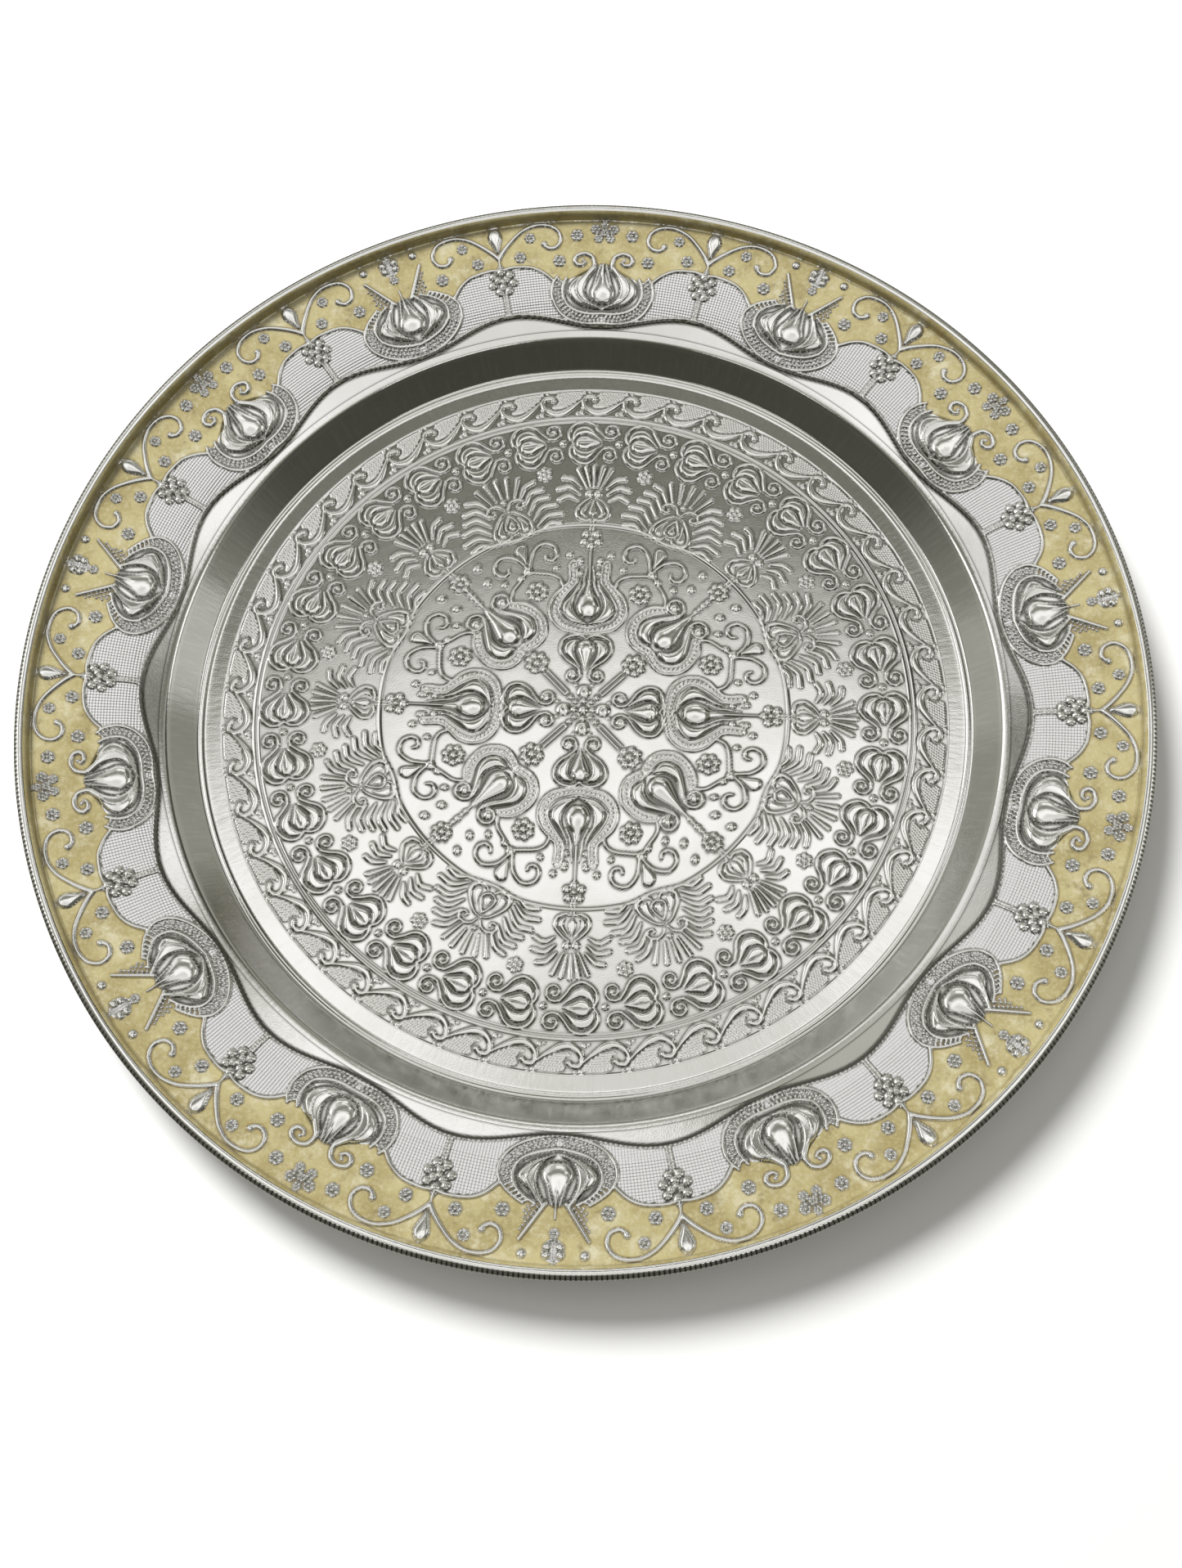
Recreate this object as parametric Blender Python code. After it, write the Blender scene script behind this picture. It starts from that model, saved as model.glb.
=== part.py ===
"""Round pressed-metal offering plate: a stamped tray with a wired edge and an enamelled rim.

Metres, +Z up. The origin is on the tray's axis, in the plane of the flat underside that it stands on.
+Y points to the middle of one of the fourteen tulip bosses of the rim.
"""

import math

import bmesh
import bpy
from mathutils import Vector

# Driving dimensions
OUTER_RADIUS = 0.1750
FLOOR_RADIUS = 0.1214
SHEET = 0.0008
BEAD_RADIUS = 0.0020
BEAD_HEIGHT = 0.0207
WIRE_RADIUS = 0.00085
TULIPS = 14
STEPS_PER_TULIP = 8

# Well: a small raised ring round the floor, then the sloping wall
RING_WIDTH = 0.0016
RING_RISE = 0.0006
WALL_FOOT_RADIUS = 0.1238
WALL_FOOT_RISE = 0.0006
WALL_TOP_RADIUS = 0.1312
WALL_TOP_HEIGHT = 0.0090
LIP_RADIUS = 0.1324
LIP_HEIGHT = 0.0095
LIP_SLOPE = 0.33

# Rim: a shallow cone that steepens towards the well
KNEE_RADIUS = 0.1430
KNEE_HEIGHT = 0.0134
RIM_SLOPE = 0.173
SHOULDER_SLOPE = 0.338

# Wavy edge between the smooth lip and the rim, and the scalloped edge of the enamel ground
WAVE_RADIUS = 0.1367
WAVE_DEPTH = 0.0025
WAVE_STEP = 0.0004
SCALLOP_RADIUS = 0.1529
SCALLOP_DEPTH = 0.0031
POCKET_DEPTH = 0.0006
POCKET_EDGE = 0.00015
POCKET_OUTER_RADIUS = 0.1690

# Enamel layer, which lies in the pocket
ENAMEL_GAP = 0.0003
ENAMEL_STAND = 0.0001

# Rolled edge: the sheet climbs, turns over the wire and ends under it
ROLL_START = math.radians(200)
ROLL_END = math.radians(-110)
ROLL_OUTSIDE_POINTS = 9
ROLL_INSIDE_POINTS = 6
FILLET_RADIUS = 0.1704
FILLET_DROP = 0.0021

# Tulip bosses
BOSS_FOOT = 0.1389
BOSS_WIDEST = 0.1445
BOSS_TIP = 0.1552
BOSS_HALF_WIDTH = 0.0124
BOSS_RISE = 0.0011
BOSS_CROWN = 0.0003
BOSS_ROOT = 0.0004
BOSS_INSET = 0.72
BOSS_CURVE_STEPS = 4

SEGMENTS = TULIPS * STEPS_PER_TULIP
BEAD_CENTRE = OUTER_RADIUS - BEAD_RADIUS
FLOOR_TOP = SHEET
WIRE_SIDES = 8


def remove_everything():
    for obj in list(bpy.data.objects):
        bpy.data.objects.remove(obj, do_unlink=True)


def material(name, colour, roughness, metallic):
    """A Principled material of one colour."""
    made = bpy.data.materials.new(name)
    made.use_nodes = True
    shader = made.node_tree.nodes["Principled BSDF"]
    shader.inputs["Base Color"].default_value = (*colour, 1.0)
    shader.inputs["Roughness"].default_value = roughness
    shader.inputs["Metallic"].default_value = metallic
    made.diffuse_color = (*colour, 1.0)
    return made


def rim_height(radius):
    """Height of the rim's top surface at a radius."""
    beyond = radius - KNEE_RADIUS
    slope = RIM_SLOPE if beyond > 0 else SHOULDER_SLOPE
    return KNEE_HEIGHT + slope * beyond


def lip_height(radius):
    """Height of the smooth lip between the well's wall and the rim."""
    return LIP_HEIGHT + LIP_SLOPE * (radius - LIP_RADIUS)


def wave_radius(angle):
    """Inner edge of the rim: it comes in at each tulip and goes out between them."""
    return WAVE_RADIUS - WAVE_DEPTH * math.cos(TULIPS * angle)


def scallop_radius(angle):
    """Inner edge of the enamel: two lobes to each tulip, one at its tip and one between tulips."""
    return SCALLOP_RADIUS + SCALLOP_DEPTH * math.cos(2 * TULIPS * angle)


def arc(radius, start, end, count):
    """Points on a circle about the bead's centre, as (radius from the axis, height)."""
    points = []
    for i in range(count):
        turn = start + (end - start) * i / (count - 1)
        points.append((BEAD_CENTRE + radius * math.cos(turn), BEAD_HEIGHT + radius * math.sin(turn)))
    return points


def sheet_section(angle):
    """The sheet's closed section at one angle: top side outwards, round the roll, underside inwards."""
    wave = wave_radius(angle)
    scallop = scallop_radius(angle)
    pocket = scallop + POCKET_EDGE
    ring_crest = FLOOR_RADIUS + RING_WIDTH / 2
    ring_end = FLOOR_RADIUS + RING_WIDTH
    top = [
        (FLOOR_RADIUS, FLOOR_TOP),
        (ring_crest, FLOOR_TOP + RING_RISE),
        (ring_end, FLOOR_TOP),
        (WALL_FOOT_RADIUS, FLOOR_TOP + WALL_FOOT_RISE),
        (WALL_TOP_RADIUS, WALL_TOP_HEIGHT),
        (LIP_RADIUS, LIP_HEIGHT),
        (wave - WAVE_STEP, lip_height(wave - WAVE_STEP)),
        (wave, rim_height(wave)),
        (scallop, rim_height(scallop)),
        (pocket, rim_height(pocket) - POCKET_DEPTH),
        (POCKET_OUTER_RADIUS, rim_height(POCKET_OUTER_RADIUS) - POCKET_DEPTH),
        (FILLET_RADIUS, BEAD_HEIGHT - FILLET_DROP),
    ]
    roll_outside = arc(BEAD_RADIUS, ROLL_START, ROLL_END, ROLL_OUTSIDE_POINTS)
    roll_inside = arc(BEAD_RADIUS - SHEET, ROLL_END, ROLL_START, ROLL_INSIDE_POINTS)
    under_pocket = POCKET_DEPTH + SHEET
    underside = [
        (FILLET_RADIUS + SHEET, BEAD_HEIGHT - FILLET_DROP - SHEET / 3),
        (POCKET_OUTER_RADIUS + SHEET / 2, rim_height(POCKET_OUTER_RADIUS) - under_pocket),
        (pocket + SHEET / 4, rim_height(pocket) - under_pocket),
        (scallop, rim_height(scallop) - SHEET),
        (wave, rim_height(wave) - SHEET),
        (LIP_RADIUS + SHEET / 2, LIP_HEIGHT - SHEET),
        (WALL_TOP_RADIUS + SHEET * 0.7, WALL_TOP_HEIGHT - SHEET * 0.7),
        (WALL_FOOT_RADIUS + SHEET / 2, FLOOR_TOP + WALL_FOOT_RISE - SHEET),
        (WALL_FOOT_RADIUS, 0.0),
    ]
    return top + roll_outside + roll_inside + underside


def enamel_section(angle):
    """The enamel layer's closed section at one angle."""
    inner = scallop_radius(angle) + POCKET_EDGE + ENAMEL_GAP
    outer = POCKET_OUTER_RADIUS - ENAMEL_GAP
    return [
        (inner, rim_height(inner) + ENAMEL_STAND),
        (outer, rim_height(outer) + ENAMEL_STAND),
        (outer, rim_height(outer) - POCKET_DEPTH + ENAMEL_GAP),
        (inner, rim_height(inner) - POCKET_DEPTH + ENAMEL_GAP),
    ]


def wire_section(_angle):
    """The stiffening wire's round section."""
    turns = [-2 * math.pi * i / WIRE_SIDES for i in range(WIRE_SIDES)]
    return [
        (BEAD_CENTRE + WIRE_RADIUS * math.cos(turn), BEAD_HEIGHT + WIRE_RADIUS * math.sin(turn))
        for turn in turns
    ]


def turned(name, section, finish, capped):
    """Carry a section round the axis. A capped piece is closed across the middle on both sides."""
    mesh = bpy.data.meshes.new(name)
    shape = bmesh.new()
    loops = []
    for step in range(SEGMENTS):
        angle = 2 * math.pi * step / SEGMENTS
        loops.append([
            shape.verts.new((radius * math.sin(angle), radius * math.cos(angle), height))
            for radius, height in section(angle)
        ])
    count = len(loops[0])
    spans = count - 1 if capped else count
    for step in range(SEGMENTS):
        here = loops[step]
        after = loops[(step + 1) % SEGMENTS]
        for i in range(spans):
            j = (i + 1) % count
            shape.faces.new((here[i], here[j], after[j], after[i]))
    if capped:
        shape.faces.new([loop[0] for loop in loops])
        shape.faces.new([loop[-1] for loop in loops])
    bmesh.ops.recalc_face_normals(shape, faces=shape.faces)
    shape.to_mesh(mesh)
    shape.free()
    return add_object(name, mesh, finish)


def add_object(name, mesh, finish):
    mesh.materials.append(finish)
    mesh.shade_smooth()
    mesh.set_sharp_from_angle(angle=math.radians(35))
    obj = bpy.data.objects.new(name, mesh)
    bpy.context.collection.objects.link(obj)
    return obj


def bezier(points, steps):
    """Points along one cubic curve, without its last end."""
    start, leave, arrive, end = (Vector(point) for point in points)
    curve = []
    for i in range(steps):
        t = i / steps
        s = 1 - t
        curve.append(start * s ** 3 + leave * 3 * s * s * t + arrive * 3 * s * t * t + end * t ** 3)
    return curve


def boss_outline():
    """An onion outline, as (across, out along the radius): round foot, full sides, drawn-in tip."""
    full = BOSS_HALF_WIDTH
    foot = bezier([(0, BOSS_FOOT), (full * 0.72, BOSS_FOOT - 0.0004), (full * 1.03, BOSS_WIDEST - 0.0034),
                   (full, BOSS_WIDEST)], BOSS_CURVE_STEPS)
    side = bezier([(full, BOSS_WIDEST), (full * 0.97, BOSS_WIDEST + 0.0045), (full * 0.28, BOSS_TIP - 0.0057),
                   (0, BOSS_TIP)], BOSS_CURVE_STEPS)
    right = foot + side
    left = [Vector((-point.x, point.y)) for point in right[1:]]
    return right + [Vector((0, BOSS_TIP))] + left[::-1]


def tulip_bosses(finish):
    """Fourteen pillow-topped onion bosses, each rooted in the sheet of the rim."""
    mesh = bpy.data.meshes.new("tulip_bosses")
    shape = bmesh.new()
    outline = boss_outline()
    middle = Vector((0, BOSS_WIDEST))
    for tulip in range(TULIPS):
        angle = 2 * math.pi * tulip / TULIPS
        sine, cosine = math.sin(angle), math.cos(angle)

        def place(point, above):
            height = rim_height(point.length) + above
            x = point.x * cosine + point.y * sine
            y = point.y * cosine - point.x * sine
            return shape.verts.new((x, y, height))

        root = [place(point, -BOSS_ROOT) for point in outline]
        edge = [place(point, BOSS_RISE / 3) for point in outline]
        top = [place(middle.lerp(point, BOSS_INSET), BOSS_RISE) for point in outline]
        crown = place(middle, BOSS_RISE + BOSS_CROWN)
        under = place(middle, -BOSS_ROOT)
        for i in range(len(outline)):
            j = (i + 1) % len(outline)
            shape.faces.new((root[i], root[j], edge[j], edge[i]))
            shape.faces.new((edge[i], edge[j], top[j], top[i]))
            shape.faces.new((top[i], top[j], crown))
            shape.faces.new((root[j], root[i], under))
    bmesh.ops.recalc_face_normals(shape, faces=shape.faces)
    shape.to_mesh(mesh)
    shape.free()
    bosses = add_object("tulip_bosses", mesh, finish)
    bosses.hide_render = True
    bosses.display_type = "WIRE"
    return bosses


def join_bosses(body, bosses):
    union = body.modifiers.new("tulip_bosses", "BOOLEAN")
    union.operation = "UNION"
    union.solver = "EXACT"
    union.object = bosses


remove_everything()
silver_plate = material("silver_plate", (0.78, 0.78, 0.75), 0.16, 1.0)
steel_wire = material("steel_wire", (0.50, 0.50, 0.49), 0.35, 1.0)
gold_enamel = material("gold_enamel", (0.54, 0.45, 0.16), 0.30, 0.0)

tray_body = turned("tray_body", sheet_section, silver_plate, capped=True)
join_bosses(tray_body, tulip_bosses(silver_plate))
turned("edge_wire", wire_section, steel_wire, capped=False)
turned("rim_enamel", enamel_section, gold_enamel, capped=False)
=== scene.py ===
"""Looks of the round pressed-metal offering plate: relief, enamel, materials, light and camera.

The object is in metres, +Z up, on the axis of the plate. All relief is worked in millimetres.
An ornament is drawn once on a flat patch and carried round the plate by its own symmetry.
Angles round the plate run clockwise from +Y, seen from above.
"""

import copy
import math

import bpy
import numpy as np
from mathutils import Matrix, Vector


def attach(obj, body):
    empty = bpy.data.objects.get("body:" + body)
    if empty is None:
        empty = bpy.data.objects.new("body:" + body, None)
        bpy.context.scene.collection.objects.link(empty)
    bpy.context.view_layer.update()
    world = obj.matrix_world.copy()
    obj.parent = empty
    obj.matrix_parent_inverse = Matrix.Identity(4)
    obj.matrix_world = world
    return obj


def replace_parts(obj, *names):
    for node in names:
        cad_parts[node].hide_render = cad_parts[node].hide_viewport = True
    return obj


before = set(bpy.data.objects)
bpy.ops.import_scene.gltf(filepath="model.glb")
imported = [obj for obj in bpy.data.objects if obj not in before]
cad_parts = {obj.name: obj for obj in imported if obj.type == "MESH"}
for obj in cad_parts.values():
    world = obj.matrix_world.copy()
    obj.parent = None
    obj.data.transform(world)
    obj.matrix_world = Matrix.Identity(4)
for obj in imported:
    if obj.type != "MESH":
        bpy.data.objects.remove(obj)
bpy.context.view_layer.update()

MM = 0.001
TURN = 2 * math.pi

# The sheet, as in the CAD model (mm)
SHEET = 0.8
FLOOR_TOP = 0.8
RING_RADIUS = 121.4
RING_WIDTH = 1.6
RING_RISE = 0.6
WALL_FOOT = (123.8, 1.4)
WALL_TOP = (131.2, 9.0)
LIP_EDGE = (132.4, 9.5)
LIP_SLOPE = 0.33
KNEE = (143.0, 13.4)
RIM_SLOPE = 0.173
SHOULDER_SLOPE = 0.338
WAVE_RADIUS = 136.7
WAVE_DEPTH = 2.5
BEAD_CENTRE = (173.0, 20.7)
BEAD_RADIUS = 2.0
TULIPS = 14

# Zones of the sheet (mm from the axis)
MEDALLION_EDGE = 66.0
FAN_EDGE = 87.0
ONION_EDGE = 104.4
LEAF_EDGE = 116.2
RIM_START = 133.4
RIM_END = 171.0
ONION_MIDDLE = 95.8
LEAF_MIDDLE = 110.0
ONIONS = 32
LEAVES = 50
FANS = 8

ONION_START = math.radians(2.81)
LEAF_START = math.radians(0.7)

# Working of the relief (mm, and factors)
GRID = 0.1
TINY = 0.001
SAME_POINT = 1e-9
PRESS_SOFTNESS = 0.1
CROWN_REACH = 4.0
SHOULDER = 0.62
ENAMEL_SPREAD = 0.42
SKIRT = 0.5
ENAMEL_LEVEL = 0.15
ENAMEL_GROUND = -0.35
CELL_LEVEL = 0.35
FLOOR_RELIEF = 0.8
CENTRE_RELIEF = 1.2


# ---------------------------------------------------------------- curves on a flat patch

def spline(points, closed=False, steps=8):
    """A smooth curve through a few points (Catmull-Rom)."""
    given = np.array(points, float)
    if closed:
        given = np.vstack([given[-1:], given, given[:2]])
    else:
        given = np.vstack([2 * given[:1] - given[1:2], given, 2 * given[-1:] - given[-2:-1]])
    t = (np.arange(steps) / steps)[:, None]
    spans = []
    for before, start, end, after in zip(given[:-3], given[1:-2], given[2:-1], given[3:]):
        spans.append(0.5 * (2 * start + (end - before) * t
                            + (2 * before - 5 * start + 4 * end - after) * t ** 2
                            + (3 * start - before - 3 * end + after) * t ** 3))
    spans.append(given[-2:-1])
    return np.vstack(spans)


def spiral(centre, outer, inner, start, sweep, steps=36):
    """A spiral about a centre. Angles in degrees, anticlockwise from the u axis."""
    t = np.linspace(0, 1, steps)
    turn = np.radians(start + sweep * t)
    radius = outer + (inner - outer) * t
    return np.stack([centre[0] + radius * np.cos(turn), centre[1] + radius * np.sin(turn)], axis=1)


def mirrored(path, angle=0.0):
    """The same path on the other side of an axis that leaves the centre at this angle (degrees)."""
    path = np.atleast_2d(np.array(path, float))
    axis = np.array([math.sin(math.radians(angle)), math.cos(math.radians(angle))])
    return 2 * (path @ axis)[:, None] * axis - path


def turned(path, angle):
    """A path drawn about the +v axis, carried clockwise to another axis (degrees)."""
    path = np.atleast_2d(np.array(path, float))
    cosine, sine = math.cos(math.radians(angle)), math.sin(math.radians(angle))
    return np.stack([path[:, 0] * cosine + path[:, 1] * sine,
                     path[:, 1] * cosine - path[:, 0] * sine], axis=1)


def symmetric(half):
    """A closed outline from its right half, which starts and ends on the axis u = 0."""
    half = np.array(half, float)
    return np.vstack([half, half[-2:0:-1] * (-1, 1)])


def travel(path):
    """Distance along a path at each of its points."""
    return np.concatenate([[0], np.cumsum(np.hypot(*np.diff(path, axis=0).T))])


def points_at(path, distances):
    """Points of a path at some distances along it."""
    lengths = travel(path)
    return np.stack([np.interp(distances, lengths, path[:, axis]) for axis in (0, 1)], axis=-1)


def evenly(path, count=40):
    """The same path with evenly spread points."""
    return points_at(path, np.linspace(0, travel(path)[-1], count))


def loops(half):
    """A path on the right side and its mirror image across u = 0."""
    return half, half * (-1, 1)


class Patch:
    """Relief heights over a rectangle, u across and v outwards."""

    def __init__(self, low, high):
        self.low = low
        self.across = np.arange(low[0], high[0] + GRID / 2, GRID)
        self.along = np.arange(low[1], high[1] + GRID / 2, GRID)
        self.height = np.zeros((len(self.along), len(self.across)))
        self.backing = 0.0

    def window(self, points, reach):
        """The part of the patch round some points: its slices and its coordinates."""
        points = np.atleast_2d(points)
        spans = []
        for axis, line in enumerate((self.across, self.along)):
            first = np.searchsorted(line, points[:, axis].min() - reach)
            last = np.searchsorted(line, points[:, axis].max() + reach)
            spans.append(slice(first, last))
        place = (spans[1], spans[0])
        return place, *np.meshgrid(self.across[spans[0]], self.along[spans[1]])

    def near(self, path, reach):
        """Distance to a path, and how far along it the nearest point is (0 to 1)."""
        path = np.array(path, float)
        place, u, v = self.window(path, reach)
        distance = np.full(u.shape, reach * 2.0)
        share = np.zeros(u.shape)
        if not u.size:
            return place, distance, share
        travelled = travel(path)
        lengths = np.hypot(*np.diff(path, axis=0).T)
        for i in range(len(path) - 1):
            if lengths[i] < TINY ** 3:
                continue
            low = path[i:i + 2].min(axis=0) - reach
            high = path[i:i + 2].max(axis=0) + reach
            cols = slice(*np.searchsorted(u[0], (low[0], high[0])))
            rows = slice(*np.searchsorted(v[:, 0], (low[1], high[1])))
            step = path[i + 1] - path[i]
            du, dv = u[rows, cols] - path[i, 0], v[rows, cols] - path[i, 1]
            t = np.clip((du * step[0] + dv * step[1]) / lengths[i] ** 2, 0, 1)
            away = np.hypot(du - t * step[0], dv - t * step[1])
            closer = away < distance[rows, cols]
            distance[rows, cols] = np.where(closer, away, distance[rows, cols])
            here = (travelled[i] + t * lengths[i]) / travelled[-1]
            share[rows, cols] = np.where(closer, here, share[rows, cols])
        return place, distance, share

    def inside(self, outline, u, v):
        """Which points lie inside a closed outline."""
        outline = np.array(outline, float)
        within = np.zeros(u.shape, bool)
        for (u0, v0), (u1, v1) in zip(outline, np.roll(outline, -1, axis=0)):
            if v0 == v1:
                continue
            crosses = (v0 > v) != (v1 > v)
            within ^= crosses & (u < (u1 - u0) * (v - v0) / (v1 - v0) + u0)
        return within

    def raise_to(self, place, heights, where=True):
        """Raises the relief to some heights, where they are above it."""
        part = self.height[place]
        taller = (heights > part) & where
        part[taller] = heights[taller]

    def hump(self, path, width):
        """A parabola across a path: 1 on it, 0 at its sides. Width is one number, or several along it."""
        widths = np.atleast_1d(np.array(width, float)) / 2
        place, distance, share = self.near(path, widths.max() + GRID)
        half = np.interp(share, np.linspace(0, 1, len(widths)), widths)
        return place, np.clip(1 - (distance / np.maximum(half, TINY)) ** 2, 0, 1)

    def ridge(self, path, width, height, base=0.0, power=0.6):
        """A rounded ridge. A lower power makes it flatter on top."""
        place, profile = self.hump(path, width)
        self.raise_to(place, base + height * profile ** power, profile > 0)

    def groove(self, path, width, depth):
        """A rounded groove, cut into what is there."""
        place, profile = self.hump(path, width)
        self.height[place] -= depth * profile

    def pillow(self, outline, height, edge, base=0.0, crown=0.0):
        """A raised area with rounded shoulders. A crown makes its middle swell further."""
        edge *= SHOULDER
        closed = np.vstack([outline, outline[:1]])
        reach = max(edge, CROWN_REACH)
        place, distance, _ = self.near(closed, reach)
        _, u, v = self.window(closed, reach)
        shoulder = np.sqrt(1 - (1 - np.clip(distance / edge, 0, 1)) ** 2)
        swell = crown * (1 - (1 - np.clip(distance / CROWN_REACH, 0, 1)) ** 2)
        self.raise_to(place, base + height * shoulder + swell, self.inside(outline, u, v))

    def set_level(self, outline, level):
        """Makes an area flat at one level, whatever was there."""
        place, u, v = self.window(outline, GRID)
        self.height[place][self.inside(outline, u, v)] = level

    def dome(self, centre, radius, height, base=0.0, power=0.6):
        """A round bead."""
        place, u, v = self.window([centre], radius)
        away = np.hypot(u - centre[0], v - centre[1])
        profile = np.clip(1 - (away / radius) ** 2, 0, 1) ** power
        self.raise_to(place, base + height * profile, profile > 0)

    def bulb(self, half, height, base=0.0):
        """A smooth swelling on the axis u = 0. Half is its right outline, from foot to tip."""
        place, u, v = self.window(np.vstack(loops(half)), GRID)
        width = np.interp(v, half[:, 1], half[:, 0], left=0.0, right=0.0)
        across = np.clip(1 - (u / np.maximum(width, TINY)) ** 2, 0, 1)
        rise = height * np.sqrt(across) * (width / half[:, 0].max()) ** 0.7
        self.raise_to(place, base + rise, across > 0)

    def beads(self, path, radius, height, base=0.0, pitch=1.0, skip=0.0):
        """A row of equal beads along a path, which starts and ends a little way in."""
        path = np.array(path, float)
        usable = travel(path)[-1] - 2 * skip
        count = max(1, round(usable / pitch))
        for centre in points_at(path, skip + usable * np.arange(count + 1) / count):
            self.dome(centre, radius, height, base)

    def rosette(self, centre, radius, height, base=0.0, petals=6, first=0.0):
        """A flower: one bead with a ring of beads round it."""
        bead = radius * (0.36 if petals < 7 else 0.32)
        if self.backing:
            self.dome(centre, radius * 0.98, self.backing, base, power=0.2)
        self.dome(centre, radius * 0.34, height * 1.15, base)
        for spot in spiral(centre, radius - bead, radius - bead, first, 360, petals + 1)[:-1]:
            self.dome(spot, bead, height, base)

    def soften(self, sigma):
        """Rounds every corner of the relief a little, as pressing does."""
        reach = int(math.ceil(3 * sigma / GRID))
        offsets = np.arange(-reach, reach + 1) * GRID
        weights = np.exp(-offsets ** 2 / (2 * sigma ** 2))
        weights /= weights.sum()
        padded = np.pad(self.height, reach, mode="edge")
        rows = sum(w * padded[i:i + self.height.shape[0]] for i, w in enumerate(weights))
        self.height = sum(w * rows[:, i:i + self.height.shape[1]] for i, w in enumerate(weights))

    def sample(self, u, v):
        """Heights at any points, interpolated between grid points."""
        x = np.clip((u - self.low[0]) / GRID, 0, len(self.across) - 1.001)
        y = np.clip((v - self.low[1]) / GRID, 0, len(self.along) - 1.001)
        i, j = x.astype(int), y.astype(int)
        s, t = x - i, y - j
        h = self.height
        return ((h[j, i] * (1 - s) + h[j, i + 1] * s) * (1 - t)
                + (h[j + 1, i] * (1 - s) + h[j + 1, i + 1] * s) * t)


# ---------------------------------------------------------------- the rim's ornament

HALF_TULIP = 180 / TULIPS
PIT_LEVEL = CELL_LEVEL - 0.12
SIDES = (np.array((1, 1)), np.array((-1, 1)))


def on_cusp(out, across=0.0):
    """A point near the axis between two tulips: distance out along it, and across it towards the tulip."""
    return turned([(-across, out)], HALF_TULIP)[0]


def both_sides(path):
    """A path and its mirror image across the axis between two tulips."""
    return path, mirrored(path, HALF_TULIP)


def border_path():
    """Raised edge of the enamel, from the flower between tulips to the halo of a tulip."""
    return spline([on_cusp(155.6, 0.6), (30.9, 152.9), (25.8, 153.3), (22.7, 152.8), (19.6, 151.3),
                   (16.6, 148.9)])


def cell_outline():
    """The matt cell under the border, down to the wavy edge."""
    halo_side = [(16.2, 147.0), (16.9, 144.5), (16.2, 141.0), (14.2, 138.0), (12.0, 136.0)]
    low = [on_cusp(139.0), on_cusp(139.0, 3.0), (20.0, 137.0), (12.0, 133.0)]
    return np.vstack([border_path(), spline(halo_side), np.array(low[::-1])])


def scroll_path():
    """The C-scroll that springs from the Y between two tulips and curls in beside the next tulip."""
    stem = [on_cusp(159.7), (34.3, 158.2), (31.9, 161.8), (28.8, 165.4), (25.2, 167.7), (21.5, 168.5)]
    curl = [(17.9, 168.0), (15.5, 166.0), (14.9, 163.5), (16.0, 161.2), (18.4, 160.4), (20.3, 161.3)]
    return spline(stem + curl)


def cusp_bud(patch):
    """The bud and the Y with its two scrolls, on the axis between two tulips."""
    bud = [on_cusp(162.0), on_cusp(164.6, 1.35), on_cusp(167.0, 2.25), on_cusp(168.9, 2.0),
           on_cusp(170.2, 0.8)]
    outline = spline(np.vstack([bud, mirrored(bud[1:], HALF_TULIP)[::-1]]), closed=True)
    patch.ridge(np.vstack([outline, outline[:1]]), 0.7, 0.55)
    patch.pillow(outline, 1.0, 1.5, crown=0.3)
    for path in both_sides(scroll_path()):
        patch.ridge(path, (1.8, 1.5, 1.4, 1.5, 1.6), 0.85, power=0.4)
    for end in both_sides([(20.4, 161.9)]):
        patch.dome(np.atleast_2d(end)[0], 1.25, 1.0)
    for place, radius in (((25.4, 163.8), 2.1), ((28.3, 156.8), 2.3)):
        for end in both_sides([place]):
            patch.rosette(np.atleast_2d(end)[0], radius, 0.8)
    patch.ridge([on_cusp(159.9), on_cusp(156.5)], 1.0, 0.85)
    patch.rosette(on_cusp(156.9), 1.2, 0.95, petals=4)


def cusp_flower(patch):
    """The flower and the beaded stalk on the cell between two tulips."""
    middle = on_cusp(151.4)
    for radius, count, first in ((3.6, 7, 90), (1.6, 3, 30)):
        for spot in spiral(middle, radius, radius, first - HALF_TULIP, 360, count + 1)[:-1]:
            patch.dome(spot, 1.55, 0.75, CELL_LEVEL)
            patch.dome(spot, 0.75, 0.95, CELL_LEVEL + 0.1)
    patch.dome(middle, 1.2, 1.1, CELL_LEVEL)
    for side in (-0.55, 0.55):
        patch.beads([on_cusp(147.2, side), on_cusp(139.4, side)], 0.5, 0.5, CELL_LEVEL, pitch=0.95)
    patch.ridge([on_cusp(147.0), on_cusp(139.3)], 1.9, 0.25, CELL_LEVEL)


def halo(patch, outer, inner):
    """A band with two raised edges and two rows of beads between them."""
    for edge in (outer, inner):
        patch.ridge(edge, 1.15, 0.5, CELL_LEVEL, power=0.35)
    a, b = evenly(outer), evenly(inner)
    for share, skip in ((0.36, 1.0), (0.68, 1.6)):
        patch.beads(a + (b - a) * share, 0.58, 0.5, CELL_LEVEL - 0.05, pitch=1.42, skip=skip)


def drop(patch, tip, foot, half_width, widest):
    """The central drop of a tulip: a smooth swelling with three fine lines along its neck."""
    half = spline([(0, foot), (half_width * 0.66, foot + 0.7), (half_width, widest),
                   (half_width * 0.6, widest + (tip - widest) * 0.45), (0.9, tip - 1.2), (0, tip)])
    patch.bulb(half, 1.1, CELL_LEVEL)
    for line in ([(0, widest + 1.8), (0, tip)], [(2.9, widest + 2.6), (1.0, tip - 0.4)],
                 [(-2.9, widest + 2.6), (-1.0, tip - 0.4)]):
        patch.ridge(line, (0.5, 0.75), 0.95, CELL_LEVEL, power=0.4)


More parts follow.
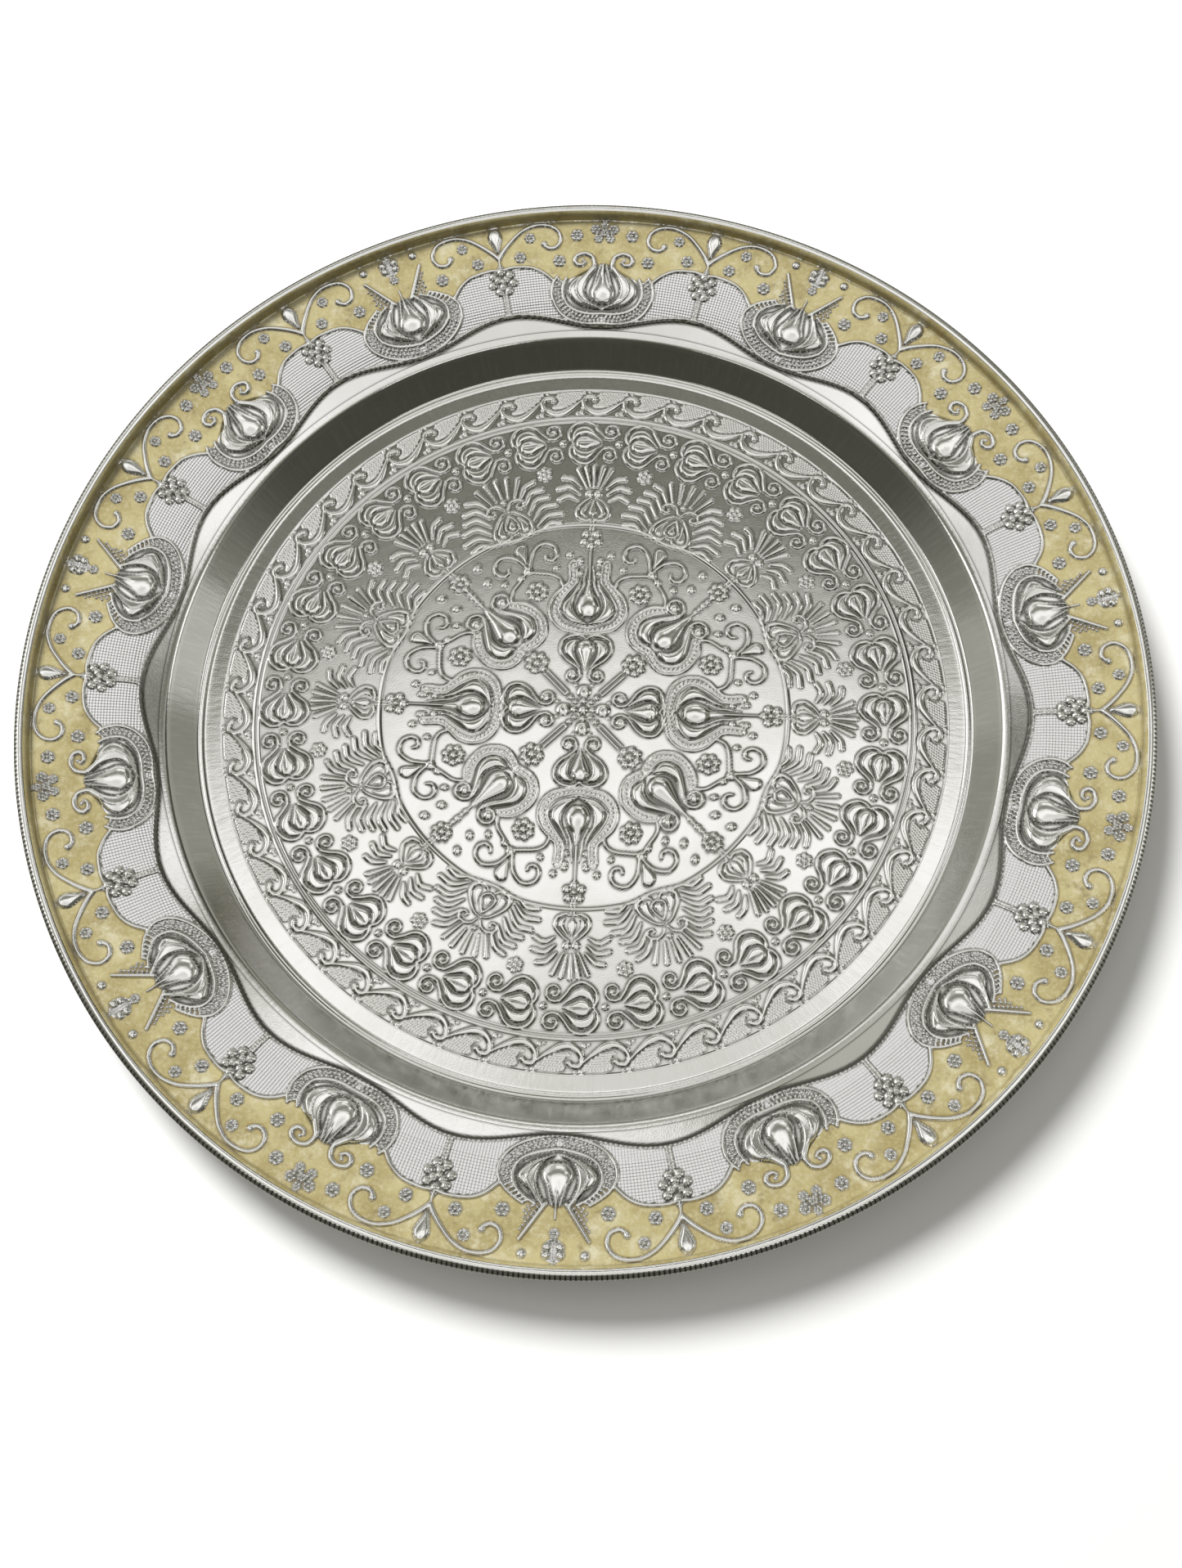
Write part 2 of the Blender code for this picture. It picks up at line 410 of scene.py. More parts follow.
def tulip_body(patch, outer, inner, pit, petal, fold):
    """What both kinds of tulip share: a beaded halo, a pit and two petals with a folded edge."""
    for a, b in zip(loops(spline(outer)), loops(spline(inner))):
        halo(patch, a, b)
    patch.set_level(symmetric(spline(pit)), PIT_LEVEL)
    for flip in SIDES:
        patch.pillow(spline(petal, closed=True) * flip, 0.7, 1.3, PIT_LEVEL, crown=0.35)
        patch.ridge(spline(fold) * flip, (0.4, 0.9, 1.0, 0.9, 0.5), 1.25, PIT_LEVEL)


def curly_tulip(patch):
    """Tulip whose petals end in curled horns."""
    tulip_body(patch,
               outer=[(15.4, 150.6), (16.9, 147.6), (17.0, 144.0), (15.4, 140.0), (12.0, 136.8),
                      (6.8, 135.1), (0, 135.3)],
               inner=[(12.3, 150.2), (13.3, 147.6), (13.3, 144.2), (11.8, 141.0), (8.4, 139.0), (4.3, 138.2),
                      (0, 138.3)],
               pit=[(0, 139.0), (4.3, 139.0), (8.4, 139.8), (11.6, 142.0), (12.8, 144.8), (12.8, 147.4),
                    (11.0, 150.4), (6.6, 151.8), (3.4, 153.6), (2.2, 155.2), (1.0, 155.9), (0, 156.0)],
               petal=[(0.5, 140.0), (4.6, 140.2), (8.6, 141.6), (11.2, 144.4), (11.4, 147.4), (9.2, 150.2),
                      (6.2, 152.0), (4.2, 154.4), (2.6, 155.2), (2.4, 153.4), (4.6, 150.4), (5.8, 147.2),
                      (5.4, 144.2), (3.6, 142.0), (1.4, 140.9)],
               fold=[(2.0, 140.5), (6.6, 142.2), (8.8, 145.4), (8.2, 148.8), (6.0, 151.2)])
    horn = spline([(5.6, 151.4), (3.6, 153.6), (3.0, 155.6), (3.9, 157.9), (6.2, 159.0), (8.7, 158.4),
                   (9.8, 156.8), (9.0, 155.2), (7.2, 155.0), (6.0, 156.0)])
    for flip in SIDES:
        patch.ridge(horn * flip, (1.2, 1.7, 1.8, 1.7, 1.6, 1.6, 1.7, 1.8, 1.5, 1.1), 0.95, power=0.4)
        patch.dome((7.0, 156.9) * flip, 0.8, 0.6)
    drop(patch, 155.4, 141.4, 4.1, 145.4)


HORN_BEADS = (((5.2, 155.2), (9.8, 161.4)), ((6.6, 155.0), (8.9, 158.2)), ((8.0, 155.1), (8.9, 156.3)))


def straight_tulip(patch):
    """Tulip whose petals end in straight, beaded horns, with a beaded halo all round."""
    tulip_body(patch,
               outer=[(9.5, 154.2), (12.4, 152.3), (15.2, 149.8), (17.0, 146.0), (16.0, 141.6),
                      (12.0, 137.8), (6.2, 135.4), (0, 134.5)],
               inner=[(6.0, 154.3), (9.0, 152.4), (11.6, 150.0), (12.9, 146.8), (11.9, 143.2), (8.6, 140.6),
                      (4.3, 139.2), (0, 138.5)],
               pit=[(0, 139.3), (4.0, 140.0), (8.0, 141.2), (11.4, 143.6), (12.4, 146.6), (11.2, 149.8),
                    (8.2, 152.6), (4.2, 154.4), (2.4, 154.9), (1.2, 155.2), (0, 155.3)],
               petal=[(0.6, 140.0), (4.0, 140.9), (8.0, 142.7), (11.2, 145.6), (10.6, 148.2), (8.0, 150.4),
                      (5.8, 153.2), (4.2, 155.2), (3.2, 154.6), (4.8, 151.6), (5.9, 148.2), (5.5, 145.0),
                      (3.8, 142.4), (1.6, 141.0)],
               fold=[(2.0, 140.8), (6.2, 142.9), (8.8, 146.2), (7.8, 149.4), (5.4, 152.8)])
    for flip in SIDES:
        patch.ridge(((3.0, 154.2), (9.9, 164.2)) * flip, (1.6, 1.3), 0.95, power=0.4)
        for row in HORN_BEADS:
            patch.beads(row * flip, 0.6, 0.6, 0.1, pitch=1.35)
        patch.dome((8.9, 168.1) * flip, 1.55, 0.95)
    drop(patch, 155.0, 142.4, 4.5, 146.0)
    patch.ridge([(0, 155.0), (0, 158.4)], 0.8, 1.0)
    patch.rosette((0, 162.3), 1.8, 0.75)


CURLY_FLOWERS = (((3.1, 167.8), 2.0), ((2.0, 164.5), 1.8), ((9.4, 165.5), 2.4), ((15.0, 156.2), 2.4))


def curly_crown(patch):
    """The beaded flower above a curly tulip, with a rosette each side."""
    for spot in ((0, 169.5), (0, 166.6)):
        patch.rosette(spot, 1.6, 0.8)
    for flip in SIDES:
        for spot, radius in CURLY_FLOWERS:
            patch.rosette(spot * flip, radius, 0.8)


def straight_crown(patch):
    """The four-part flower above a straight tulip."""
    patch.dome((0, 167.1), 3.6, 0.34, power=0.2)
    for flip in SIDES:
        for spot in ((2.25, 168.3), (1.75, 168.0), (2.1, 166.0), (1.6, 165.9)):
            patch.dome(spot * flip, 1.25, 1.0)
        patch.rosette((15.0, 156.2) * flip, 2.4, 0.8)
    patch.dome((0, 170.2), 0.8, 0.7)


def wavy_edge(angle):
    """Radius of the wavy step between the polished lip and the rim."""
    return WAVE_RADIUS - WAVE_DEPTH * np.cos(TULIPS * angle)


def rim_patch(curly):
    """One tulip and the ground round it. Height 0 is the plain cone of the rim."""
    patch = Patch((-4.0, 130.0), (44.0, 176.0))
    patch.backing = 0.25
    patch.height[:] = ENAMEL_GROUND
    for outline in both_sides(cell_outline()):
        patch.set_level(outline, CELL_LEVEL)
    u, v = np.meshgrid(patch.across, patch.along)
    radius = np.hypot(u, v)
    patch.height[(radius < 150) & (np.abs(u) < 17) & (v < 150) & (patch.height < 0)] = CELL_LEVEL
    patch.height[radius < 141] = CELL_LEVEL
    for path in both_sides(border_path()):
        patch.ridge(path, 1.5, 0.85, CELL_LEVEL - 0.3)
    tulip = (curly_tulip, curly_crown) if curly else (straight_tulip, straight_crown)
    for draw in (cusp_bud, cusp_flower, *tulip):
        draw(patch)
    line = np.clip(1 - ((radius - wavy_edge(np.arctan2(u, v)) - 0.5) / 0.5) ** 2, 0, 1)
    patch.height = np.where(line > 0, np.maximum(patch.height, CELL_LEVEL + 0.35 * line), patch.height)
    patch.soften(PRESS_SOFTNESS)
    return patch


# ---------------------------------------------------------------- the floor's ornament

def circle(patch, radius, width, height):
    """The line that runs round the plate at one radius of a band."""
    line = np.clip(1 - ((patch.along - radius) / (width / 2)) ** 2, 0, 1)
    patch.height = np.maximum(patch.height, height * line[:, None])


def leaf_patch():
    """One running leaf of the outermost band. u is arc length round the band, v the radius."""
    pitch = TURN * LEAF_MIDDLE / LEAVES
    patch = Patch((-pitch, ONION_EDGE - 1), (pitch, LEAF_EDGE + 1))
    for shift in (-pitch, 0.0, pitch):
        move = np.array([shift, 0.0])
        comma = spline([(7.4, 112.4), (5.4, 110.6), (3.0, 108.9), (0.6, 107.6), (-2.2, 107.2), (-4.6, 108.3),
                        (-6.0, 110.2), (-6.2, 112.1), (-5.0, 113.3), (-3.4, 113.2), (-2.4, 112.4)]) + move
        patch.ridge(comma, (0.6, 1.1, 1.7, 2.1, 2.4, 2.3, 2.0, 1.7, 1.6, 1.7, 1.6), 0.55)
        patch.dome(np.array([-2.5, 112.4]) + move, 0.95, 0.6)
        field = spline([(-1.2, 114.2), (0.4, 115.2), (4.0, 115.3), (7.0, 115.1), (7.2, 113.4), (4.6, 111.2),
                        (1.8, 109.6), (-1.0, 109.2), (-3.2, 109.9), (-1.2, 111.0), (-0.8, 112.6)],
                       closed=True) + move
        patch.pillow(field, 0.2, 0.5)
        for row in range(7):
            for column in range(11):
                spot = np.array([-1.6 + column * 0.9 + 0.45 * (row % 2), 109.9 + row * 0.78])
                if patch.inside(field - move, spot[:1], spot[1:])[0]:
                    patch.dome(spot + move, 0.42, 0.3, 0.1)
        for spot, radius in (((6.9, 107.3), 0.9), ((5.4, 106.9), 0.6), ((7.4, 109.2), 0.7),
                             ((-6.0, 115.0), 0.8), ((-4.2, 115.1), 0.5)):
            patch.dome(np.array(spot) + move, radius, 0.35)
    for radius, height in ((105.4, 0.35), (116.0, 0.2)):
        circle(patch, radius, 1.0, height)
    patch.soften(PRESS_SOFTNESS)
    return patch


def onion(patch, left):
    """One onion that points along its ring, with two curls and a stud at its tip."""
    for side in (1, -1):
        def at(points):
            return np.array(points, float) * (1, side) + (left, ONION_MIDDLE)

        outline = at(spline([(1.6, 0.1), (0.5, 2.0), (0.6, 4.6), (2.6, 7.0), (5.6, 7.9), (8.4, 6.6),
                             (10.2, 4.2), (12.2, 1.9)]))
        tail = at(spiral((14.0, 4.6), 3.0, 0.7, -125, 500, 60))
        patch.ridge(np.vstack([outline, tail]), (1.0, 1.2, 1.2, 1.0, 1.0, 0.9, 0.7), 0.55)
        petal = at(spline([(1.7, 0.8), (1.3, 3.0), (2.6, 5.3), (5.4, 6.3), (7.8, 5.2), (9.6, 2.9),
                           (11.2, 0.9), (9.0, 1.9), (6.2, 3.3), (3.6, 2.8)], closed=True))
        patch.pillow(petal, 0.6, 1.5)
        patch.dome(at((14.0, 4.6)), 0.75, 0.65)
    middle = np.array([left, ONION_MIDDLE])
    heart = spline([(2.3, 0), (3.2, 1.9), (5.6, 2.6), (8.0, 1.6), (11.2, 0), (8.0, -1.6), (5.6, -2.6),
                    (3.2, -1.9)], closed=True) + middle
    patch.pillow(heart, 0.75, 2.0)
    patch.groove(np.array([(3.4, 0.35), (9.4, 0.15)]) + middle, (0.4, 0.9, 0.3), 0.3)
    for radius, height in ((1.15, 0.6), (0.5, 0.85)):
        patch.dome(middle + (16.9, 0.0), radius, height)


def onion_patch():
    """A stretch of the ring of onions. u is arc length, v the radius."""
    pitch = TURN * ONION_MIDDLE / ONIONS
    patch = Patch((-pitch, FAN_EDGE - 1), (pitch, ONION_EDGE + 1))
    for number in range(-1, 3):
        onion(patch, (number - 0.5) * pitch - 4.6)
    circle(patch, 103.9, 0.8, 0.3)
    patch.soften(PRESS_SOFTNESS)
    return patch


BIG_LOBES = (((8.6, 64.4), (12.0, 65.7), (15.3, 64.6)), ((8.0, 66.2), (12.4, 68.7), (16.9, 67.8)),
             ((7.5, 68.6), (11.6, 72.1), (16.1, 71.7)), ((6.8, 71.6), (10.6, 75.3), (14.6, 75.1)),
             ((6.2, 74.6), (9.6, 78.3), (13.6, 78.4)), ((5.4, 77.4), (8.4, 81.0), (11.8, 82.0)))
SMALL_LOBES = (((4.4, 79.0), (7.4, 81.8), (10.2, 82.3)), ((4.8, 76.6), (8.2, 78.9), (11.8, 78.1)),
               ((5.2, 74.2), (8.4, 75.7), (11.4, 74.2)))


def lobe(patch, path):
    """A smooth rounded feather of a fan."""
    patch.ridge(spline(path), (0.8, 1.4, 1.7, 1.8, 1.8), 0.5)


def uprights(patch, hub, angles, start, reach, place=None):
    """Straight feathers that spread from a hub, thicker at their round tips."""
    for degrees in angles:
        turn = math.radians(degrees)
        ends = [(hub[0] + r * math.sin(turn), hub[1] + r * math.cos(turn)) for r in (start, reach)]
        ends = place(ends) if place else ends
        patch.ridge(ends, (0.7, 1.2, 1.7), 0.5)


def big_fan(patch):
    """A fan of feathers over a pear-shaped body with two scrolled wings, on the axis u = 0."""
    patch.dome((0, 78.3), 0.95, 0.55)
    for flip in SIDES:
        body = spline([(0.4, 74.4), (2.4, 73.6), (4.8, 71.0), (6.3, 68.3), (6.2, 65.9), (4.4, 64.7),
                       (2.2, 64.9), (1.2, 66.0)])
        patch.ridge(body * flip, (0.6, 0.8, 0.9, 1.1, 1.5, 1.6, 1.2, 0.7), 0.5)
        belly = spline([(2.6, 71.6), (4.4, 69.8), (5.4, 67.6), (4.6, 66.1), (3.0, 66.2), (3.0, 68.8)],
                       closed=True)
        patch.pillow(belly * flip, 0.3, 1.2)
        wing = spline([(0.6, 75.4), (1.8, 77.2), (3.8, 77.9), (5.8, 77.1), (6.3, 75.5), (5.0, 74.5),
                       (3.9, 75.2), (4.3, 76.0)])
        patch.ridge(wing * flip, (0.6, 0.9, 1.1, 1.0, 0.9, 0.7), 0.45)
        for path in BIG_LOBES:
            lobe(patch, np.array(path) * flip)
    seed = symmetric(spline([(0, 73.0), (1.1, 71.4), (2.1, 69.4), (2.0, 67.6), (0, 66.4)]))
    patch.ridge(np.vstack([seed, seed[:1]]), 0.8, 0.45)
    patch.pillow(symmetric(spline([(0, 70.8), (1.0, 69.2), (1.0, 68.0), (0, 67.4)])), 0.35, 0.9)
    uprights(patch, (0, 71.0), (-27.8, -13.9, 0, 13.9, 27.8), 8.8, 15.6)


def small_fan(patch, angle):
    """The smaller fan between two big ones: feathers over two beads and an onion."""
    def at(points):
        return turned(points, angle)

    uprights(patch, (0, 74.0), (-25, -12.5, 0, 12.5, 25), 5.4, 12.9, at)
    body = spline([(0.8, 75.3), (3.0, 73.7), (5.2, 70.9), (4.8, 68.1), (2.5, 66.9), (0.6, 67.3)])
    petal = spline([(0.9, 73.8), (2.8, 72.4), (4.1, 70.4), (3.6, 68.6), (1.9, 68.1), (2.7, 70.2)],
                   closed=True)
    for flip in SIDES:
        for path in SMALL_LOBES:
            lobe(patch, at(np.array(path) * flip))
        patch.dome(at((1.5, 76.7) * flip)[0], 1.35, 0.55)
        patch.ridge(at(body * flip), (0.7, 0.9, 1.1, 1.3, 1.1, 0.7), 0.45)
        patch.pillow(at(petal * flip), 0.4, 1.1)
        patch.beads(at(((0.5, 66.6), (0.5, 62.5)) * flip), 0.42, 0.35, pitch=0.9)
    patch.pillow(at(symmetric(spline([(0, 68.0), (1.2, 69.6), (1.0, 71.6), (0, 74.4)]))), 0.5, 1.1)


def fan_patch():
    """Half a big fan and half a small one, between their axes."""
    patch = Patch((-3.0, 58.0), (37.0, 90.0))
    big_fan(patch)
    small_fan(patch, 180 / FANS)
    patch.rosette((16.4, 83.4), 2.6, 0.5, first=20)
    patch.soften(PRESS_SOFTNESS)
    return patch


def beaded_band(patch, outer, inner):
    """A double line with a row of beads between."""
    for edge in (outer, inner):
        patch.ridge(edge, 0.8, 0.42)
    middle = (evenly(outer) + evenly(inner)) / 2
    patch.ridge(middle, 2.9, 0.24, power=0.2)
    patch.beads(middle, 0.62, 0.5, pitch=1.5, skip=0.6)


def cross_tulip(patch):
    """The tulip on each arm of the cross, with straight beaded horns and a stem."""
    outer = spline([(6.6, 50.8), (6.4, 45.4), (8.4, 42.6), (11.2, 39.6), (12.6, 35.4), (11.6, 31.0),
                    (8.6, 27.8), (4.4, 26.6), (0, 26.0)])
    inner = spline([(4.4, 50.9), (4.0, 45.0), (5.4, 42.4), (7.4, 39.6), (9.2, 36.2), (9.2, 33.4),
                    (6.8, 30.6), (3.2, 29.3), (0, 28.6)])
    for a, b in zip(loops(outer), loops(inner)):
        beaded_band(patch, a, b)
    for flip in SIDES:
        petal = spline([(0.5, 29.8), (3.4, 30.4), (6.6, 31.8), (8.4, 34.2), (8.0, 37.0), (5.6, 40.0),
                        (3.8, 43.4), (2.8, 45.4), (3.0, 42.0), (4.7, 38.6), (4.9, 35.0), (3.0, 31.8)],
                       closed=True) * flip
        patch.pillow(petal, 0.7, 1.5, crown=0.2)
        patch.ridge(spline([(0.5, 29.6), (5.6, 31.0), (9.0, 34.0)]) * flip, (0.8, 1.6, 0.6), 0.95)
        for spot, radius in (((3.2, 50.9), 0.9), ((3.0, 47.6), 1.0), ((6.8, 54.2), 1.2), ((11.0, 49.2), 1.1),
                             ((3.4, 52.2), 1.1)):
            patch.dome(spot * flip, radius, 0.5)
        patch.ridge(spline([(1.0, 50.4), (1.6, 46.6), (1.9, 43.4), (3.4, 39.8)]) * flip, (0.4, 0.8, 0.8),
                    0.45)
    patch.bulb(spline([(0, 31.8), (2.5, 32.6), (3.8, 35.6), (3.0, 38.6), (1.5, 40.6), (0.7, 43.6),
                       (0, 46.0)]), 1.25)
    patch.ridge([(0, 45.0), (0, 56.0)], (0.9, 0.7), 0.5)
    for spot in ((0, 57.6), (-2.3, 59.0), (2.3, 59.0), (-1.8, 61.8), (1.8, 61.8)):
        patch.dome(spot, 1.4, 0.6)
    patch.dome((0, 60.0), 1.0, 0.75)


def small_onion(patch):
    """The onion between the centre and a cross tulip, whose two petals end in curls."""
    for flip in SIDES:
        side = spline([(0, 24.4), (1.8, 25.5), (4.8, 25.5), (7.7, 23.6), (8.2, 20.4), (6.4, 17.4),
                       (3.6, 15.3), (1.7, 13.6)])
        outline = np.vstack([side, spiral((4.0, 11.8), 2.7, 0.5, 140, 520, 60)]) * flip
        patch.ridge(outline, (0.8, 1.1, 1.1, 1.0, 1.0, 1.0, 0.8), 0.5)
        patch.dome((4.0, 11.8) * flip, 1.3, 0.6)
        petal = spline([(2.4, 24.0), (4.9, 24.0), (6.9, 22.2), (6.8, 19.4), (4.6, 17.0), (1.6, 14.6),
                        (3.4, 18.6), (3.6, 21.6)], closed=True) * flip
        patch.pillow(petal, 0.7, 1.4, crown=0.2)
    patch.bulb(spline([(0, 13.0), (0.9, 15.6), (1.9, 18.0), (2.9, 20.6), (2.6, 22.8), (1.3, 23.8),
                       (0, 24.2)]), 1.15)
    patch.ridge([(-2.4, 21.4), (0, 21.9), (2.4, 21.4)], 0.6, 0.35, 0.75)


def diagonal_tulip(patch):
    """The curled tulip between two arms of the cross."""
    def at(points):
        return turned(points, 45)

    for flip in SIDES:
        outer = spline([(8.2, 43.2), (11.0, 40.4), (12.4, 36.0), (12.0, 31.4), (9.0, 27.6), (5.2, 26.3),
                        (0.4, 27.4)])
        inner = spline([(6.6, 42.0), (8.6, 38.8), (9.7, 35.4), (9.2, 32.2), (7.0, 29.8), (4.4, 29.2),
                        (0.6, 30.0)])
        beaded_band(patch, at(outer * flip), at(inner * flip))
        neck = spline([(5.0, 39.4), (3.2, 42.2), (2.3, 44.6)])
        horn = np.vstack([neck, spiral((5.6, 45.6), 3.2, 1.9, 185, -330, 40)]) * flip
        patch.ridge(at(horn), (0.9, 1.1, 1.2, 1.2, 1.0), 0.6)
        patch.dome(at((5.7, 45.4) * flip)[0], 1.7, 0.75)
        petal = spline([(1.8, 31.0), (4.2, 29.9), (7.0, 30.4), (8.9, 33.4), (8.6, 36.6), (6.6, 40.0),
                        (4.2, 43.4), (2.5, 46.4), (3.0, 43.0), (4.6, 39.4), (5.4, 36.4), (4.4, 33.4)],
                       closed=True) * flip
        patch.pillow(at(petal), 0.8, 1.7, crown=0.35)
    core = Patch((-6.0, 28.0), (6.0, 50.0))
    core.bulb(spline([(0, 32.0), (2.6, 32.8), (3.9, 35.6), (3.0, 39.0), (1.8, 42.4), (0.9, 46.0),
                      (0, 48.0)]), 1.35)
    place, u, v = patch.window(at([(-6, 28), (6, 28), (6, 50), (-6, 50)]), GRID)
    local = turned(np.stack([u.ravel(), v.ravel()], axis=1), -45)
    patch.raise_to(place, core.sample(local[:, 0], local[:, 1]).reshape(u.shape))
    for out, radius in ((49.6, 0.9), (51.2, 0.8), (53.0, 1.1), (54.8, 0.9)):
        patch.dome(at((0, out))[0], radius, 0.5)
    patch.ridge(at([(0, 47.0), (0, 56.8)]), 0.7, 0.4)
    patch.rosette(at((0, 59.6))[0], 3.4, 0.6, petals=7, first=15)
    patch.rosette(at((0, 21.9))[0], 3.9, 0.6, petals=7, first=15)
    for side in (-0.7, 0.7):
        patch.ridge(at([(side, 7.6), (side, 17.4)]), 0.8, 0.5)
    patch.ridge(at([(-0.7, 7.6), (0.7, 7.6)]), 0.8, 0.5)


def niche(patch):
    """The line that closes a field between two tulips, with a bud and two curls at its head."""
    near_hook = np.array([(19.8, 48.4), (19.3, 53.6), (17.2, 57.0), (14.6, 57.8), (12.0, 56.6), (11.1, 54.0),
                          (12.2, 52.0), (14.2, 52.0), (14.8, 53.4)])
    far_hook = turned([(-19.8, 49.0), (-19.4, 53.5), (-17.3, 56.6), (-14.9, 57.5), (-12.2, 56.6),
                       (-11.1, 54.2), (-12.0, 52.2), (-14.0, 51.7), (-15.2, 52.8)], 45)
    studs = (((37.0, 48.0), 1.4), ((33.4, 42.9), 1.4), ((27.6, 42.4), 1.2))
    for turn in (0, 1):
        def at(points):
            points = np.atleast_2d(np.array(points, float))
            return mirrored(points, 45) if turn else points

        line = spline([(8.4, 42.8), (9.6, 45.2), (12.0, 46.6), (15.4, 47.0), (20.4, 46.8), (22.8, 43.4),
                       (24.6, 40.6), (25.2, 38.4), (25.0, 36.6)])
        patch.ridge(at(line), 1.1, 0.5)
        patch.rosette(at((16.8, 40.4))[0], 3.7, 0.6, petals=7)
        patch.dome(at((20.4, 47.6))[0], 1.6, 0.7)
        patch.dome(at((22.4, 45.0))[0], 1.2, 0.6)
        for spot, radius in studs:
            patch.dome(at(spot)[0], radius, 0.55)
        bud = spline([(20.9, 50.0), (21.0, 53.4), (21.4, 56.6), (23.6, 56.9), (25.0, 54.8), (23.4, 52.2)],
                     closed=True)
        patch.pillow(at(bud), 0.65, 1.5)
        for hook in (near_hook, far_hook):
            patch.ridge(at(spline(hook)), (1.0, 1.2, 1.2, 1.3, 1.0), 0.5)


def medallion_patch():
    """An eighth of the medallion, between an arm of the cross and a diagonal."""
    patch = Patch((-4.0, -4.0), (51.0, 69.0))
    cross_tulip(patch)
    small_onion(patch)
    diagonal_tulip(patch)
    niche(patch)
    patch.dome((0, 0), 1.5, 0.7)
    for angle, radius, size in ((0, 3.0, 1.1), (45, 3.6, 0.9), (45, 5.8, 1.0), (90, 3.0, 1.1)):
        patch.dome(turned([(0, radius)], angle)[0], size, 0.55)
    for knob in ((0, 6.3), (6.3, 0)):
        patch.dome(knob, 2.3, 0.7)
        patch.groove([knob, (knob[0] + 0.1, knob[1])], 1.0, 0.4)
    for side in (1, -1):
        patch.dome((2.6 * side, 8.3), 0.7, 0.4)
    patch.soften(PRESS_SOFTNESS)
    return patch


def circle_line(radius, angle):
    """Relief of the line round the medallion, which dips in at each big fan."""
    bend = 65.3 - 1.5 * np.clip(np.cos(FANS * (angle - math.pi / FANS)), 0, 1) ** 3
    return 0.45 * np.clip(1 - ((radius - bend) / 0.65) ** 2, 0, 1)


# ---------------------------------------------------------------- heights of the whole plate

def from_axis(angle, count):
    """Angle from the nearest of some evenly spread axes, and the number of that axis."""
    step = TURN / count
    index = np.round(angle / step)
    return angle - index * step, index


def folded(radius, angle, count, start=0.0):
    """Where a point lies on a patch that is mirrored at some axes."""
    local, _ = from_axis(angle - start, count)
    return radius * np.sin(np.abs(local)), radius * np.cos(local)


def unrolled(radius, angle, count, start, middle):
    """Where a point lies on a patch that is repeated along a band."""
    local, _ = from_axis(angle - start, count)
    return middle * local, radius


def on_rim(radius, angle, curly, straight):
    """Heights from the patches of the two kinds of tulip, which take turns round the rim."""
    _, index = from_axis(angle, TULIPS)
    u, v = folded(radius, angle, TULIPS)
    return np.where(index % 2 == 0, curly.sample(u, v), straight.sample(u, v))


class Relief:
    """Every patch, made once."""

    def __init__(self):
        self.curly = rim_patch(True)
        self.straight = rim_patch(False)
        self.leaf = leaf_patch()
        self.onion = onion_patch()
        self.fan = fan_patch()
        self.medallion = medallion_patch()
        self.soft_curly = softened(self.curly, ENAMEL_SPREAD)
        self.soft_straight = softened(self.straight, ENAMEL_SPREAD)

    def rim(self, radius, angle):
        return on_rim(radius, angle, self.curly, self.straight)

    def soft_rim(self, radius, angle):
        return on_rim(radius, angle, self.soft_curly, self.soft_straight)

    def floor(self, radius, angle):
        bands = ((self.medallion, folded(radius, angle, 4), -1.0, MEDALLION_EDGE, CENTRE_RELIEF),
                 (self.fan, folded(radius, angle, FANS, math.pi / FANS), 61.0, FAN_EDGE + 1.5, 1.0),
                 (self.onion, unrolled(radius, angle, ONIONS, ONION_START, ONION_MIDDLE), FAN_EDGE - 0.5,
                  ONION_EDGE, 1.0),
                 (self.leaf, unrolled(radius, angle, LEAVES, LEAF_START, LEAF_MIDDLE), ONION_EDGE,
                  LEAF_EDGE + 0.5, 1.0))
        height = circle_line(radius, angle)
        for patch, (u, v), low, high, gain in bands:
            within = (radius > low) & (radius < high)
            height = np.maximum(height, np.where(within, patch.sample(u, v) * gain, 0))
        return height * FLOOR_RELIEF


def softened(patch, sigma):
    """A copy of a patch with its relief spread out."""
    soft = copy.copy(patch)
    soft.height = np.clip(patch.height, 0, 0.8)
    soft.soften(sigma)
    return soft


def rim_base(radius):
    """The plain cone of the rim, under its relief."""
    beyond = radius - KNEE[0]
    return KNEE[1] + np.where(beyond > 0, RIM_SLOPE, SHOULDER_SLOPE) * beyond


def smooth_step(x):
    x = np.clip(x, 0, 1)
    return x * x * (3 - 2 * x)


def rim_top(radius, angle):
    lip = LIP_EDGE[1] + LIP_SLOPE * (radius - LIP_EDGE[0])
    climb = smooth_step((radius - wavy_edge(angle) + 0.2) / 0.6)
    return lip * (1 - climb) + (rim_base(radius) + relief.rim(radius, angle)) * climb


def floor_top(radius, angle):
    return FLOOR_TOP + relief.floor(radius, angle)


def section_heights(radii, corners, rounding=0.35, step=0.05):
    """Heights along a section made of straight runs, with its corners rounded."""
    fine = np.arange(radii[0] - 3, radii[-1] + 3, step)
    heights = np.interp(fine, *np.transpose(corners))
    reach = int(3 * rounding / step)
    weights = np.exp(-(np.arange(-reach, reach + 1) * step) ** 2 / (2 * rounding ** 2))
    padded = np.pad(heights, reach, mode="edge")
    padded[:reach] = heights[0] - (heights[1] - heights[0]) * np.arange(reach, 0, -1)
    padded[-reach:] = heights[-1] + (heights[-1] - heights[-2]) * np.arange(1, reach + 1)
    rounded = np.convolve(padded, weights / weights.sum(), mode="valid")
    return np.interp(radii, fine, rounded)


